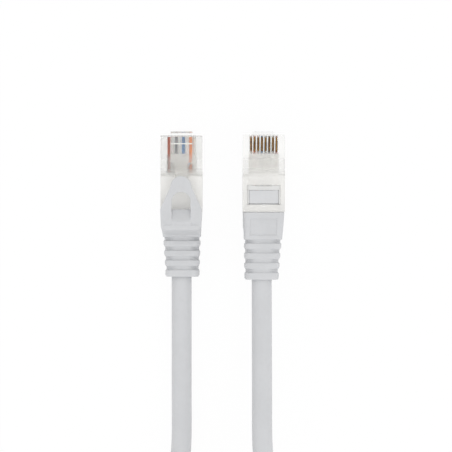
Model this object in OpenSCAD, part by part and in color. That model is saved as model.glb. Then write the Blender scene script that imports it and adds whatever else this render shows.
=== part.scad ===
// Ethernet patch cable: two 8-position modular plugs with moulded boots, and the cable between them.
// Millimetres, +Z up. The plugs point along +Y and lie side by side on z = 0, which is the surface.
// Plug A lies on its contact face. Plug B is turned over and lies on the hump of its boot.
// Inside a plug, u runs back from its front face and v runs up from its contact face to its latch side.

/* [Layout] */
// Node to show, or all
// Distance between the centre lines of the two plugs
plug_spacing = 22.9; // [14:0.1:60]
// Smoothness of round surfaces
$fn = 48; // [24:4:96]

/* [Plug body] */
// Width of the plug body
body_w = 11.68; // [11.6:0.01:11.8]
// Length of the plug body
body_l = 21.46; // [20:0.01:23]
// Height of the front of the body, under the latch
nose_h = 6.6; // [6.2:0.05:7]
// Height of the rear of the body
rear_h = 8; // [7.6:0.05:8.3]
// Distance from the front face to the step up to the rear height
step_u = 11.5; // [10:0.1:13]
// Length of the slope up to the rear height
step_run = 0.6; // [0.3:0.1:1.2]
// Length of the bevel under the nose
bevel_l = 1.1; // [0.4:0.1:2]
// Height of the bevel under the nose
bevel_h = 0.6; // [0.2:0.1:1]
// Clearance of every piece that is pushed into another
fit_gap = 0.05; // [0.02:0.01:0.1]

/* [Contacts and wires] */
// Distance between neighbouring contacts
contact_pitch = 1.016; // [1:0.001:1.05]
// Thickness of a contact blade
blade_t = 0.36; // [0.3:0.02:0.44]
// Start of the blade behind the front face
blade_u = 0.8; // [0.5:0.1:1.5]
// Length of a contact blade
blade_l = 3.7; // [3:0.1:4.4]
// Depth of the blade's edge under the contact face
blade_v = 0.4; // [0.2:0.1:0.8]
// Height of the blade's body
blade_h = 2.2; // [1.8:0.1:2.4]
// Height of the two teeth on the blade
tooth_h = 0.5; // [0.2:0.1:0.7]
// Width of a tooth at its foot
tooth_w = 0.6; // [0.4:0.05:0.8]
// Place of the first tooth along the blade
tooth_u = 0.75; // [0.6:0.05:1]
// Distance between the two teeth
tooth_pitch = 1.65; // [1.2:0.05:2]
// End of the contact slots behind the front face
slot_end_u = 5; // [4.8:0.05:5.1]
// Height of the contact slots above the contact face
slot_h = 1.9; // [1.6:0.1:2]
// Width of the slot in front of a contact
slot_w = 0.56; // [0.5:0.02:0.7]
// Diameter of an insulated wire
wire_d = 0.86; // [0.8:0.01:0.9]
// Height of the row of wires above the contact face
wire_v = 3; // [2.8:0.1:3.3]
// Thickness of the wall in front of the wires
nose_wall = 0.3; // [0.3:0.1:1.4]
// Distance between the wires inside the jacket, side by side
pair_pitch = 1.08; // [1.05:0.01:1.15]
// Distance between the two rows of wires inside the jacket
pair_row = 1; // [0.95:0.01:1.1]
// Length over which the wires part into two rows
spread_l = 1.2; // [1.2:0.1:2]

/* [Bars] */
// Start of the load bar behind the front face
load_bar_u = 5.25; // [5:0.05:6]
// Length of the load bar
load_bar_l = 7.35; // [4:0.05:7.4]
// Width of the load bar
load_bar_w = 8.3; // [8.1:0.05:8.6]
// Height of the load bar
load_bar_h = 1.8; // [1.4:0.1:2.2]
// Wires that lie in open channels of the load bar, and not in holes
open_wires = [2, 8];
// Length of the strain-relief bar
strain_bar_l = 1.35; // [0.8:0.05:1.35]
// Width of the two arms of the strain-relief bar, one on each side of the boot's block
bar_arm_w = 0.42; // [0.3:0.02:0.42]
// Length of the arms from the front of the strain-relief bar
bar_arm_l = 5.2; // [2:0.1:5.2]
// Height of the strain-relief bar
strain_bar_h = 1.6; // [1:0.1:2]
// Width of the groove along the strain-relief bar
bar_groove_w = 0.3; // [0.2:0.1:0.5]
// Depth of the groove along the strain-relief bar
bar_groove_h = 0.2; // [0.1:0.05:0.3]

/* [Window and cavities] */
// Width of the window in the contact face
window_w = 9.15; // [8.6:0.05:9.6]
// Start of the window behind the front face
window_u = 14; // [13:0.1:15]
// Length of the window
window_l = 5.4; // [4.5:0.1:5.6]
// Width of the cavities inside the body
cavity_w = 8.4; // [8.3:0.05:9]
// Floor of the cavity where the wires spread
fan_floor = 1.3; // [1:0.1:1.6]
// Roof of the cavity where the wires spread
fan_roof = 5.8; // [5.4:0.1:6]
// Thickness of the floor and the roof of the rear cavity
rear_wall = 0.8; // [0.7:0.05:0.9]

/* [Latch] */
// Width of the latch from its root to its shoulders
latch_w = 6.07; // [5.5:0.01:6.2]
// Width of the latch's tongue behind the shoulders
tongue_w = 3.2; // [2.8:0.1:3.6]
// Thickness of the latch
latch_t = 1.35; // [1.1:0.05:1.4]
// Radius of the round root of the latch
root_r = 0.75; // [0.7:0.01:0.8]
// Distance of the root's axis ahead of the front face
root_ahead = 0.35; // [0.2:0.05:0.5]
// Height of the root's axis above the contact face
root_v = 6.2; // [6:0.05:6.3]
// Height of the recess's floor under the latch's root
recess_v = 5.3; // [5:0.05:5.4]
// Place of the step in the recess's floor behind the front face
recess_step_u = 2.4; // [1.5:0.1:4]
// Height of the step in the recess's floor
recess_step_h = 0.2; // [0.1:0.05:0.3]
// Height of the recess's floor under the latch's shoulders
recess_end_v = 6.4; // [6:0.05:6.5]
// Angle of the free latch to the body
latch_rise = 14.2; // [12:0.1:14.5]
// Length along the latch from its axis to its shoulders
shoulder_l = 8.9; // [8:0.1:10]
// Length along the latch from its axis to its tip
latch_l = 15.8; // [14:0.1:16]
// Height of the shoulder hooks above the latch
hook_h = 0.45; // [0.2:0.05:0.6]
// Width of each shoulder hook
hook_w = 1.2; // [0.8:0.1:1.4]
// Length of the slope at the shoulders and of the shoulder hooks' backs
shoulder_run = 0.6; // [0.3:0.1:1]
// Length of the shoulder hooks
hook_l = 1.5; // [1:0.1:2]
// Play between the latch and the body around it
latch_gap = 0.12; // [0.06:0.01:0.15]

/* [Boot] */
// Width of the boot behind the plug
boot_w = 11.7; // [11.2:0.1:12.4]
// Top of the hump above the contact face
hump_v = 12.5; // [11.8:0.1:13]
// Start of the flat top of the hump behind the front face
hump_u = 25.3; // [25.2:0.1:26]
// End of the flat top of the hump behind the front face
hump_end_u = 26.2; // [26:0.1:27]
// End of the slope behind the hump
slope_u = 28.1; // [27.5:0.1:28.2]
// Height of the boot's shelf under the front of the guard's arms
shelf_v = 10; // [9:0.1:10.2]
// Height of the boot's shelf under the guard's bend
shelf_end_v = 10.7; // [10.2:0.1:10.8]
// Height of the boot where the ribs begin
tail_h = 7.8; // [7.4:0.1:8]
// Width of the boot where the ribs begin
tail_w = 10.6; // [9:0.1:10.8]
// Width of the boot's end flange
flange_w = 9.5; // [8.5:0.1:9.8]
// Radius of the boot's long edges
edge_r = 1.3; // [0.8:0.1:1.8]
// Start of the first groove behind the front face, on plug A
groove_u_a = 28.4; // [28.3:0.1:29]
// Start of the first groove behind the front face, on plug B
groove_u_b = 29.1; // [28.3:0.1:29.5]
// Number of grooves
grooves = 4; // [2:1:5]
// Width of a groove
groove_w = 1.05; // [0.6:0.05:1.4]
// Distance between neighbouring grooves
groove_pitch = 2.72; // [2.2:0.01:3]
// Length of the end flange behind the last groove
flange_l = 1.85; // [1.2:0.05:2.5]
// Depth of the grooves above and below the cable
groove_depth = 0.5; // [0.3:0.05:0.8]
// Depth of the grooves at the boot's sides
groove_side = 0.25; // [0.15:0.05:0.6]
// Radius of the core's long edges, which shows in the grooves
core_r = 3.2; // [2.5:0.1:3.25]
// Radius of the ribs' corners
rib_r = 1.9; // [1.2:0.1:2.5]
// Height of the ribs above the contact face's level
rib_v = 0.1; // [0.05:0.05:0.3]
// Width of the recessed panel on the contact side
panel_w = 7.5; // [5:0.1:8]
// Start of the recessed panel behind the front face
panel_u = 23.3; // [22.5:0.1:24]
// Length of the recessed panel
panel_l = 4.6; // [3:0.1:4.8]
// Depth of the recessed panel
panel_depth = 0.2; // [0.1:0.05:0.4]
// Start of the boot's tongue inside the plug
tongue_u = 15.4; // [15.2:0.1:16]
// Width of the mouth of the tongue, where the wires go in
mouth_w = 6.8; // [6.4:0.1:7]
// Length of the mouth of the tongue
mouth_l = 1.2; // [1:0.1:1.6]
// Height of the mouth's floor above the contact face
mouth_v = 2.9; // [2.6:0.05:3]
// Height of the mouth of the tongue
mouth_h = 2.3; // [2.2:0.1:2.6]
// Width of the block of the boot that shows in the window
block_w = 8.1; // [7.5:0.05:8.2]
// Length of the block in the window
block_l = 3.67; // [3:0.01:3.8]
// Depth of the block under the contact face
block_v = 0.3; // [0.2:0.05:0.5]

/* [Boot guard] */
// Thickness of the guard
guard_t = 1.15; // [1:0.05:1.2]
// Height of the guard's bend axis above the contact face
guard_v = 11.62; // [11.6:0.01:11.7]
// Place of the guard's bend axis behind the front face
guard_axis_u = 24.5; // [24:0.1:24.6]
// Front of the guard behind the front face
guard_u = 11.5; // [11:0.1:12]
// Radius of the guard's round front
guard_r = 2.9; // [2.5:0.1:3.3]
// Place behind the front face where the guard is at full width
guard_full_u = 20.7; // [18:0.1:22]
// Full width of the guard
guard_w = 11.54; // [11:0.02:11.6]
// Width of the window in the guard
guard_window_w = 5.24; // [4.6:0.02:5.6]
// Front of the window in the guard
guard_window_u = 15.9; // [15.5:0.1:17]
// Foot of the ramp inside the guard's window
ramp_u = 20.7; // [20:0.1:21]
// Height of the ramp's front edge above the contact face
ramp_v = 10.6; // [8.5:0.1:11]
// Top of the ramp inside the guard's window
ramp_top_u = 24.2; // [23.5:0.1:24.5]
// Play beside the guard's two arms and round its bend
guard_gap = 0.07; // [0.05:0.01:0.12]

/* [Cable] */
// Diameter of the cable
cable_d = 5.6; // [5.2:0.1:6]
// Bore of the cable's jacket
jacket_bore = 4.6; // [4.5:0.1:4.8]
// Height of the cable's axis above the contact face
cable_v = 4; // [3.9:0.05:4.1]
// Start of the jacket inside the plug
jacket_u = 16.4; // [16.2:0.1:17]

/* [Hank] */
// Radius of the hank's innermost folds
fold_r = 16.8; // [16.8:0.1:22]
// Radius of the drawn-in runs at the waist
waist_r = 22.4; // [22.4:0.1:40]
// Angle by which the runs close in towards the waist
flare = 30; // [10:1:35]
// Height of one layer of turns above the one below
layer_step = 6.2; // [6.1:0.05:7]
// Number of turns between the two waists
turns = 3.5; // [2.5:1:5.5]
// Distance from the middle of the hank to where the cable joins it
join_x = 22.6; // [22.6:0.1:26]
// Middle of the hank along Y
hank_y = -128; // [-150:1:-118]
// Length of the tie along the hank
tie_l = 10; // [6:0.5:12]
// Thickness of the tie
tie_t = 0.8; // [0.5:0.1:1.2]
// Inside radius of the tie's corners
tie_r = 2.8; // [1:0.2:3]
// Clearance between the tie and the turns
tie_gap = 0.2; // [0.1:0.05:0.3]

/* [Hidden] */
ends = ["a", "b"];
wires = [1 : 8];
latch_nose = root_ahead + root_r;
boot_u = body_l + fit_gap;
tail_l = groove_w + (grooves - 1) * groove_pitch + flange_l;
tail_a = groove_u_a + tail_l;
tail_b = groove_u_b + tail_l;
face_y = (max(tail_a, tail_b) - latch_nose) / 2;
plug_x = plug_spacing / 2;
blade_top = blade_v + blade_h;
bar_floor = wire_v - load_bar_h / 2;
load_bar_end = load_bar_u + load_bar_l;
fan_u = load_bar_end + fit_gap;
spread_u = fan_u + spread_l;
strain_bar_u = window_u + fit_gap;
outer_guard_v = guard_v + guard_t / 2;
inner_guard_v = guard_v - guard_t / 2;
beyond = 1;

// The hank's base curve: two folds of fold_r joined by two runs of waist_r that bend in to the waist.
waist_x = (fold_r + waist_r) * cos(flare) - waist_r;
fold_y = (fold_r + waist_r) * sin(flare);
flare_l = waist_r * flare * PI / 180;
half_turn_l = 2 * flare_l + fold_r * (180 + 2 * flare) * PI / 180;
turn_l = 2 * half_turn_l;
lead_in = (flare_l + fold_r * flare * PI / 180) / turn_l;
layers = 4;
layer_turns = (turns + 2 * lead_in) / layers;
turn_step = (join_x - fold_r) / layer_turns;
rings_per_turn = 24;
hank_floor = tie_t + tie_gap + cable_d / 2;
join_y = hank_y + fold_y + cable_d;

// The cable's route from each boot to the hank. It leaves the boot straight and swings out to the hank.
route_a = concat([[-plug_x, face_y - tail_a, cable_v]], [
    [-11.45, -31, 3.9], [-11.45, -42, 3.8], [-11.45, -53, 3.8], [-11.45, -64, 3.8],
    [-11.8, -70, 3.8], [-13.2, -76, 3.8], [-15.7, -82, 3.8], [-18.6, -88, 3.8], [-21, -94, 3.8],
    [-22.3, -99, 3.8]], [[-join_x, join_y, hank_floor]]);
route_b = concat([[plug_x, face_y - tail_b, hump_v - cable_v]], [
    [11.15, -26, 8.5], [10.98, -31, 8.7], [10.98, -42, 9.8], [10.98, -53, 11.8], [10.98, -64, 14.4],
    [11.45, -70, 16], [13.1, -76, 17.7], [15.7, -82, 19.3], [18.6, -88, 20.7], [21, -94, 21.8],
    [22.3, -99, 22.3]], [[join_x, join_y, hank_floor + (layers - 1) * layer_step]]);

function smooth(t) = let(c = min(max(t, 0), 1)) c * c * (3 - 2 * c);

// A point of the base curve and its outward direction, s along it from the waist on the left.
function fold_arc(angle) =
    [fold_r * cos(angle), -fold_y + fold_r * sin(angle), cos(angle), sin(angle)];
function waist_arc(side, angle) =
    [side * (waist_x + waist_r - waist_r * cos(angle)), -waist_r * sin(angle), side * cos(angle), sin(angle)];
function half_turn(s) =
    s < flare_l ? waist_arc(-1, s / waist_r * 180 / PI)
    : s < half_turn_l - flare_l ? fold_arc(180 - flare + (s - flare_l) / fold_r * 180 / PI)
    : waist_arc(1, (half_turn_l - s) / waist_r * 180 / PI);
function base_curve(s) =
    let(half = floor(s / half_turn_l), sign = half % 2 == 0 ? 1 : -1)
    sign * half_turn(s - half * half_turn_l);

// The hank's centre line after t turns: it spirals in and out a step each turn and climbs where it reverses.
function hank_point(t) =
    let(
        base = base_curve(t * turn_l),
        layer = (t + lead_in) / layer_turns,
        out = turn_step * layer_turns * abs(1 - layer % 2),
        climbed = smooth(2 * (t + lead_in - layer_turns) + 0.5)
            + smooth(2 * (t + lead_in - 2 * layer_turns) + 0.5)
            + smooth(2 * (t + lead_in - 3 * layer_turns) + 0.5))
    [base[0] + out * base[2], hank_y + base[1] + out * base[3], hank_floor + layer_step * climbed];
function hank_line(per_turn) =
    let(steps = round((turns + 2 * lead_in) * per_turn))
    concat(
        [[-join_x, join_y, hank_floor]],
        [for (i = [0 : steps]) hank_point(-lead_in + (turns + 2 * lead_in) * i / steps)],
        [[join_x, join_y, hank_floor + (layers - 1) * layer_step]]);
function line_length(line) =
    [for (i = 0, total = 0; i < len(line); i = i + 1,
        total = total + (i < len(line) ? norm(line[i] - line[i - 1]) : 0)) total][len(line) - 1];
function least_gap(line, apart) =
    min([for (i = [0 : len(line) - 1]) for (j = [i + apart : 1 : len(line) - 1]) norm(line[i] - line[j])])
        - cable_d;

// A tube swept along a line, its two ends square to Y.
function unit(v) = v / norm(v);
function heading(line, i) =
    i == 0 || i == len(line) - 1 ? [0, sign(line[i == 0 ? 1 : i][1] - line[i == 0 ? 0 : i - 1][1]), 0]
    : unit(unit(line[i + 1] - line[i]) + unit(line[i] - line[i - 1]));
function ring(centre, ahead, d, sides) =
    let(across = unit(cross(ahead, [0, 0, 1])), up = cross(across, ahead))
    [for (k = [0 : sides - 1]) centre + d / 2 * (cos(360 * k / sides) * across + sin(360 * k / sides) * up)];
module swept_tube(line, d, sides) {
    count = len(line);
    points = [for (i = [0 : count - 1]) for (p = ring(line[i], heading(line, i), d, sides)) p];
    walls = [for (i = [0 : count - 2]) for (k = [0 : sides - 1])
        let(a = i * sides + k, b = i * sides + (k + 1) % sides)
        each [[a, a + sides, b], [b, a + sides, b + sides]]];
    front = [for (k = [1 : sides - 2]) [0, k, k + 1]];
    last = (count - 1) * sides;
    back = [for (k = [1 : sides - 2]) [last, last + k + 1, last + k]];
    polyhedron(points = points, faces = concat(front, walls, back));
}

// Shapes in a plug's own u and v.
module block(w, u0, u1, v0, v1, x = 0) {
    translate([x - w / 2, -u1, v0]) cube([w, u1 - u0, v1 - v0]);
}
module side_shape(w, outline) {
    translate([-w / 2, 0, 0]) rotate([90, 0, 90])
        linear_extrude(w) polygon([for (p = outline) [-p[0], p[1]]]);
}
module plan_shape(v0, v1, outline) {
    translate([0, 0, v0]) linear_extrude(v1 - v0) polygon([for (p = outline) [p[0], -p[1]]]);
}
module section(u0, u1) {
    translate([0, -u0, 0]) rotate([90, 0, 0]) linear_extrude(u1 - u0) children();
}
module rod(d, u0, u1, v, x = 0) {
    translate([x, -u1, v]) rotate([-90, 0, 0]) cylinder(d = d, h = u1 - u0);
}
module axle(r, w, u, v) {
    translate([-w / 2, -u, v]) rotate([0, 90, 0]) cylinder(r = r, h = w);
}
module rounded(w, v0, v1, r) {
    translate([-w / 2 + r, v0]) square([w - 2 * r, v1 - v0]);
    translate([-w / 2, v0 + r]) square([w, v1 - v0 - 2 * r]);
    for (x = [-w / 2 + r, w / 2 - r])
        for (v = [v0 + r, v1 - r])
            translate([x, v]) circle(r);
}
module place(end) {
    if (end == "a") translate([-plug_x, face_y, 0]) children();
    else translate([plug_x, face_y, hump_v]) rotate([0, 180, 0]) children();
}

// Wire n's place across the contacts, and its line from the contacts back into the jacket.
function wire_x(n) = (4.5 - n) * contact_pitch;
function pair_x(n) = (1.5 - floor((n - 1) / 2)) * pair_pitch;
function pair_v(n) = cable_v + (n % 2 == 1 ? pair_row : -pair_row) / 2;
function wire_line(n, tail) = [
    [wire_x(n), -nose_wall - fit_gap, wire_v],
    [wire_x(n), -fan_u, wire_v],
    [wire_x(n), -spread_u, pair_v(n)],
    [pair_x(n), -jacket_u, pair_v(n)],
    [pair_x(n), -tail, pair_v(n)]];

module contact(n, gap = 0) {
    w = blade_t + 2 * gap;
    block(w, blade_u - gap, blade_u + blade_l + gap, blade_v, blade_top, wire_x(n));
    for (u = [blade_u + tooth_u, blade_u + tooth_u + tooth_pitch])
        translate([wire_x(n), 0, 0])
            side_shape(w, [[u - tooth_w / 2 - gap, blade_top - gap], [u, blade_top + tooth_h + gap],
                [u + tooth_w / 2 + gap, blade_top - gap]]);
}

module wire(n, tail) {
    difference() {
        swept_tube(wire_line(n, tail), wire_d, 8);
        contact(n, gap = 0.01);
    }
}

module load_bar() {
    difference() {
        block(load_bar_w, load_bar_u, load_bar_end, bar_floor, bar_floor + load_bar_h);
        for (n = wires)
            rod(wire_d + fit_gap, load_bar_u - beyond, load_bar_end + beyond, wire_v, wire_x(n));
        for (n = open_wires)
            block(wire_d + fit_gap, load_bar_u - beyond, load_bar_end + beyond, wire_v,
                bar_floor + load_bar_h + beyond, wire_x(n));
    }
}

module strain_bar() {
    bar_end = strain_bar_u + strain_bar_l;
    difference() {
        block(window_w - 2 * fit_gap, strain_bar_u, bar_end, block_v, fan_floor - fit_gap);
        block(window_w / 2, strain_bar_u - beyond, strain_bar_u + bar_groove_w, 0, block_v + bar_groove_h);
    }
    block(cavity_w - 4 * fit_gap, strain_bar_u, bar_end, fan_floor - 2 * fit_gap, block_v + strain_bar_h);
    for (side = [-1, 1])
        block(bar_arm_w, bar_end - fit_gap, strain_bar_u + bar_arm_l, block_v / 2, rear_wall - fit_gap,
            side * (window_w / 2 - fit_gap - bar_arm_w / 2));
}

module housing() {
    recess_w = latch_w + 2 * latch_gap;
    difference() {
        side_shape(body_w, [[0, bevel_h], [bevel_l, 0], [body_l, 0], [body_l, rear_h], [step_u, rear_h],
            [step_u - step_run, nose_h], [0, nose_h]]);
        // room for the latch
        axle(root_r + latch_gap, recess_w, -root_ahead, root_v);
        side_shape(recess_w, [[-beyond, recess_v], [recess_step_u, recess_v],
            [recess_step_u, recess_v + recess_step_h], [shoulder_l, recess_end_v],
            [shoulder_l, nose_h + beyond], [-beyond, nose_h + beyond]]);
        side_shape(tongue_w + 3 * latch_gap, [[shoulder_l - fit_gap, recess_end_v],
            [latch_l, rear_h - rear_wall + fit_gap], [latch_l, rear_h + beyond],
            [shoulder_l - fit_gap, rear_h + beyond]]);
        // contact slots, and the wires' channel above them
        for (n = wires) {
            block(slot_w, -beyond, slot_end_u, -beyond, slot_h, wire_x(n));
            block(blade_t + 2 * fit_gap, blade_u - fit_gap, blade_u + blade_l + fit_gap, 0,
                blade_top + tooth_h + fit_gap, wire_x(n));
        }
        channel_h = wire_d + 2 * fit_gap;
        block(load_bar_w, nose_wall, load_bar_u, wire_v - channel_h / 2, wire_v + channel_h / 2);
        block(load_bar_w + 2 * fit_gap, load_bar_u - fit_gap, fan_u + beyond, bar_floor - fit_gap,
            bar_floor + load_bar_h + fit_gap);
        // cavities for the wires, the boot's tongue and the jacket
        block(cavity_w, fan_u, tongue_u + fit_gap, fan_floor, fan_roof);
        block(cavity_w, tongue_u - fit_gap, body_l + beyond, rear_wall, rear_h - rear_wall);
        block(window_w, window_u, window_u + window_l, -beyond, fan_floor + 0.1);
    }
}

module latch() {
    hook_end = shoulder_l - shoulder_run;
    axle(root_r, latch_w, -root_ahead, root_v);
    translate([0, root_ahead, root_v]) rotate([-latch_rise, 0, 0]) {
        plan_shape(-latch_t / 2, latch_t / 2, [
            [latch_w / 2, 0], [latch_w / 2, shoulder_l - shoulder_run], [tongue_w / 2, shoulder_l],
            [tongue_w / 2, latch_l], [-tongue_w / 2, latch_l], [-tongue_w / 2, shoulder_l],
            [-latch_w / 2, shoulder_l - shoulder_run], [-latch_w / 2, 0]]);
        // the two hooks that hold the plug in its socket
        for (side = [-1, 1])
            translate([side * (latch_w - hook_w) / 2, 0, 0])
                side_shape(hook_w, [[hook_end - hook_l, latch_t / 2 - fit_gap],
                    [hook_end - shoulder_run, latch_t / 2 + hook_h], [hook_end, latch_t / 2 + hook_h],
                    [hook_end, latch_t / 2 - fit_gap]]);
    }
}

module cable_end(tail) {
    difference() {
        rod(cable_d, jacket_u, tail, cable_v);
        rod(jacket_bore, jacket_u - beyond, tail + beyond, cable_v);
    }
}

module boot(groove_u, tail) {
    plan = [[-boot_w / 2, boot_u], [-boot_w / 2, hump_u], [-tail_w / 2, groove_u], [tail_w / 2, groove_u],
        [boot_w / 2, hump_u], [boot_w / 2, boot_u]];
    difference() {
        union() {
            // the main body, lower under the guard's arms
            intersection() {
                side_shape(boot_w, [[boot_u, 0], [boot_u, shelf_v], [guard_axis_u, shelf_end_v],
                    [hump_u, hump_v], [hump_end_u, hump_v], [slope_u, tail_h], [groove_u, tail_h],
                    [groove_u, 0]]);
                plan_shape(-beyond, hump_v + beyond, plan);
                section(boot_u - beyond, groove_u + beyond) rounded(boot_w, 0, hump_v, edge_r);
            }
            // the ramp between the guard's arms
            side_shape(guard_window_w - 2 * guard_gap, [[ramp_u, rear_h + fit_gap], [ramp_u, ramp_v],
                [ramp_top_u, hump_v], [hump_end_u, hump_v], [hump_end_u, rear_h + fit_gap]]);
            // the core in each groove, and the rib behind it
            for (k = [1 : grooves]) {
                w = tail_w + (flange_w - tail_w) * k / grooves;
                rib_u = groove_u + groove_w + (k - 1) * groove_pitch;
                section(rib_u - groove_w - fit_gap, rib_u + fit_gap)
                    rounded(w - 2 * groove_side, groove_depth, tail_h - groove_depth, core_r);
                section(rib_u, k == grooves ? tail : rib_u - groove_w + groove_pitch)
                    rounded(w, rib_v, tail_h, rib_r);
            }
            // the tongue round the jacket, and its block in the window
            block(cavity_w - 4 * fit_gap, tongue_u + fit_gap, boot_u + beyond, rear_wall + fit_gap,
                rear_h - rear_wall - fit_gap);
            block(block_w, tongue_u + fit_gap, tongue_u + fit_gap + block_l, block_v, cable_v);
        }
        // the mouth where the wires go in
        block(mouth_w, tongue_u - beyond, tongue_u + mouth_l, mouth_v, mouth_v + mouth_h);
        // the guard's seat
        for (side = [-1, 1])
            translate([side * (guard_window_w + guard_w) / 4, 0, 0])
                axle(guard_t / 2 + guard_gap, (guard_w - guard_window_w) / 2 + 2 * guard_gap,
                    guard_axis_u, guard_v);
        rod(cable_d + 2 * fit_gap, tongue_u - beyond, tail + beyond, cable_v);
        block(panel_w, panel_u, panel_u + panel_l, -beyond, panel_depth);
    }
}

module boot_guard() {
    difference() {
        union() {
            intersection() {
                translate([0, -guard_u - guard_r, inner_guard_v]) cylinder(r = guard_r, h = guard_t);
                block(guard_w, guard_u, guard_u + guard_r, inner_guard_v, outer_guard_v);
            }
            plan_shape(inner_guard_v, outer_guard_v, [[-guard_r, guard_u + guard_r],
                [-guard_w / 2, guard_full_u], [-guard_w / 2, guard_axis_u], [guard_w / 2, guard_axis_u],
                [guard_w / 2, guard_full_u], [guard_r, guard_u + guard_r]]);
            axle(guard_t / 2, guard_w, guard_axis_u, guard_v);
        }
        translate([0, -guard_window_u - guard_window_w / 2, inner_guard_v - beyond])
            cylinder(d = guard_window_w, h = guard_t + 2 * beyond);
        block(guard_window_w, guard_window_u + guard_window_w / 2, guard_axis_u + 2 * beyond,
            inner_guard_v - beyond, outer_guard_v + beyond);
    }
}

module cable_run(route) {
    swept_tube(route, cable_d, 8);
}

module cable_hank() {
    swept_tube(hank_line(rings_per_turn), cable_d, 6);
}

// The tie goes round all the turns at the waist, so its opening clears the widest of them.
module tie() {
    bow = waist_r - sqrt(waist_r * waist_r - tie_l * tie_l / 4);
    reach = waist_x + turn_step * layer_turns + cable_d / 2 + bow + tie_gap;
    top = hank_floor + (layers - 1) * layer_step + cable_d / 2 + tie_gap;
    translate([0, hank_y, 0]) section(-tie_l / 2, tie_l / 2) difference() {
        rounded(2 * (reach + tie_t), 0, top + tie_t, tie_r + tie_t);
        translate([0, tie_t]) rounded(2 * reach, 0, top - tie_t, tie_r);
    }
}

plug_parts = ["housing", "latch", "load_bar", "strain_bar", "boot", "boot_guard", "cable_end"];

clear_plastic = [0.93, 0.93, 0.92, 0.5];
grey_pvc = [0.8, 0.81, 0.82];
gold = [0.72, 0.52, 0.25];
wire_colours = [[0.9, 0.72, 0.55], [0.9, 0.5, 0.15], [0.85, 0.85, 0.82], [0.25, 0.4, 0.7],
    [0.75, 0.8, 0.88], [0.6, 0.6, 0.6], [0.82, 0.75, 0.68], [0.45, 0.3, 0.2]];

for (e = ends) {
    groove_u = e == "a" ? groove_u_a : groove_u_b;
    tail = e == "a" ? tail_a : tail_b;
    color(clear_plastic) place(e) housing();
    color(clear_plastic) place(e) latch();
    color(clear_plastic) place(e) load_bar();
    color(clear_plastic) place(e) strain_bar();
    color(grey_pvc) place(e) boot(groove_u, tail);
    color(grey_pvc) place(e) boot_guard();
    color(grey_pvc) place(e) cable_end(tail);
    for (n = wires) {
        color(gold) place(e) contact(n);
        color(wire_colours[n - 1]) place(e) wire(n, tail);
    }
}
color(grey_pvc) cable_run(route_a);  // cable_run_a
color(grey_pvc) cable_run(route_b);  // cable_run_b
color(grey_pvc) cable_hank();
color([0.15, 0.15, 0.16]) tie();

union() {  // cable_hank
    fine = hank_line(2 * rings_per_turn);
    echo(least_gap_mm = least_gap(fine, rings_per_turn));
    echo(free_length_mm = line_length(fine) + line_length(route_a) + line_length(route_b));
    echo(tip_to_tip_mm = line_length(fine) + line_length(route_a) + line_length(route_b) + tail_a + tail_b);
}
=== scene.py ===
"""The looks of an ethernet patch cable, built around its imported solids.

Sizes are in millimetres, as in the part's source, and each mesh is brought to metres as it is made.
In a plug's own frame x runs across it, y points ahead of its front face and z goes from its contact face
to its latch side. A distance u is measured back from the front face, so it is -y.
"""

import logging
import math
from dataclasses import dataclass, replace
from enum import Enum
from typing import Any, Callable, Iterable, Sequence

import bmesh
import bpy
from mathutils import Matrix, Vector


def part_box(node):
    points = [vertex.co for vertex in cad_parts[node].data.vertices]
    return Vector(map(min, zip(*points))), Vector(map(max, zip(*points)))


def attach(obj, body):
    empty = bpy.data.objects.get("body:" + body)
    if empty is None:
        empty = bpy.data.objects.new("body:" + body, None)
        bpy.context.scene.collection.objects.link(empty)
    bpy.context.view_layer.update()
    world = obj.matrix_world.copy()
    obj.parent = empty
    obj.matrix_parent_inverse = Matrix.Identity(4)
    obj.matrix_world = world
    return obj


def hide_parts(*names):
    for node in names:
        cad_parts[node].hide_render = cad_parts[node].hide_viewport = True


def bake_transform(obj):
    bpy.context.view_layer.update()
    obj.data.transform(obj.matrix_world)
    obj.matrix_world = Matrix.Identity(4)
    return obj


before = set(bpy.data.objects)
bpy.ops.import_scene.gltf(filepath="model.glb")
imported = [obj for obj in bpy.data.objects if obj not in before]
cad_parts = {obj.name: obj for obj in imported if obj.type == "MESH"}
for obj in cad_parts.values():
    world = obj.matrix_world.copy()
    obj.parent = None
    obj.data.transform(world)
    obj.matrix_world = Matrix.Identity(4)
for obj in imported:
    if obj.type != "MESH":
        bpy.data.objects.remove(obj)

log = logging.getLogger("patch_cable")

MM = 0.001
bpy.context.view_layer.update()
PICTURE_PX = 452

Colour = tuple[float, float, float]
Ring = list[Vector]
Socket = bpy.types.NodeSocket


def shade(red: int, green: int, blue: int) -> Colour:
    """Turns a colour that is written from 0 to 255 into the linear values of a material.

    Args:
        red: The red of the colour as it looks.
        green: The green of the colour as it looks.
        blue: The blue of the colour as it looks.

    Returns:
        The three linear values.
    """
    levels = [level / 255 for level in (red, green, blue)]
    return tuple(v / 12.92 if v <= 0.04045 else ((v + 0.055) / 1.055) ** 2.4 for v in levels)


def smooth(t: float) -> float:
    """Returns a smooth rise from 0 to 1 as t goes from 0 to 1."""
    held = min(max(t, 0.0), 1.0)
    return held * held * (3 - 2 * held)


def flowing(points: Sequence[Sequence[float]], steps: int) -> list[Vector]:
    """Draws one smooth curve through a list of points.

    Args:
        points: The points of the curve, in order.
        steps: How many points the curve gets for each that is given.

    Returns:
        The points of the smooth curve, from the first given point to the last.
    """
    given = [Vector(p) for p in points]
    held = [given[0] * 2 - given[1], *given, given[-1] * 2 - given[-2]]
    line = []
    for before, start, end, after in zip(held, held[1:], held[2:], held[3:]):
        for step in range(steps):
            t = step / steps
            line.append(0.5 * (
                2 * start + (end - before) * t + (2 * before - 5 * start + 4 * end - after) * t ** 2
                + (3 * start - before - 3 * end + after) * t ** 3
            ))
    return [*line, given[-1]]


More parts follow.
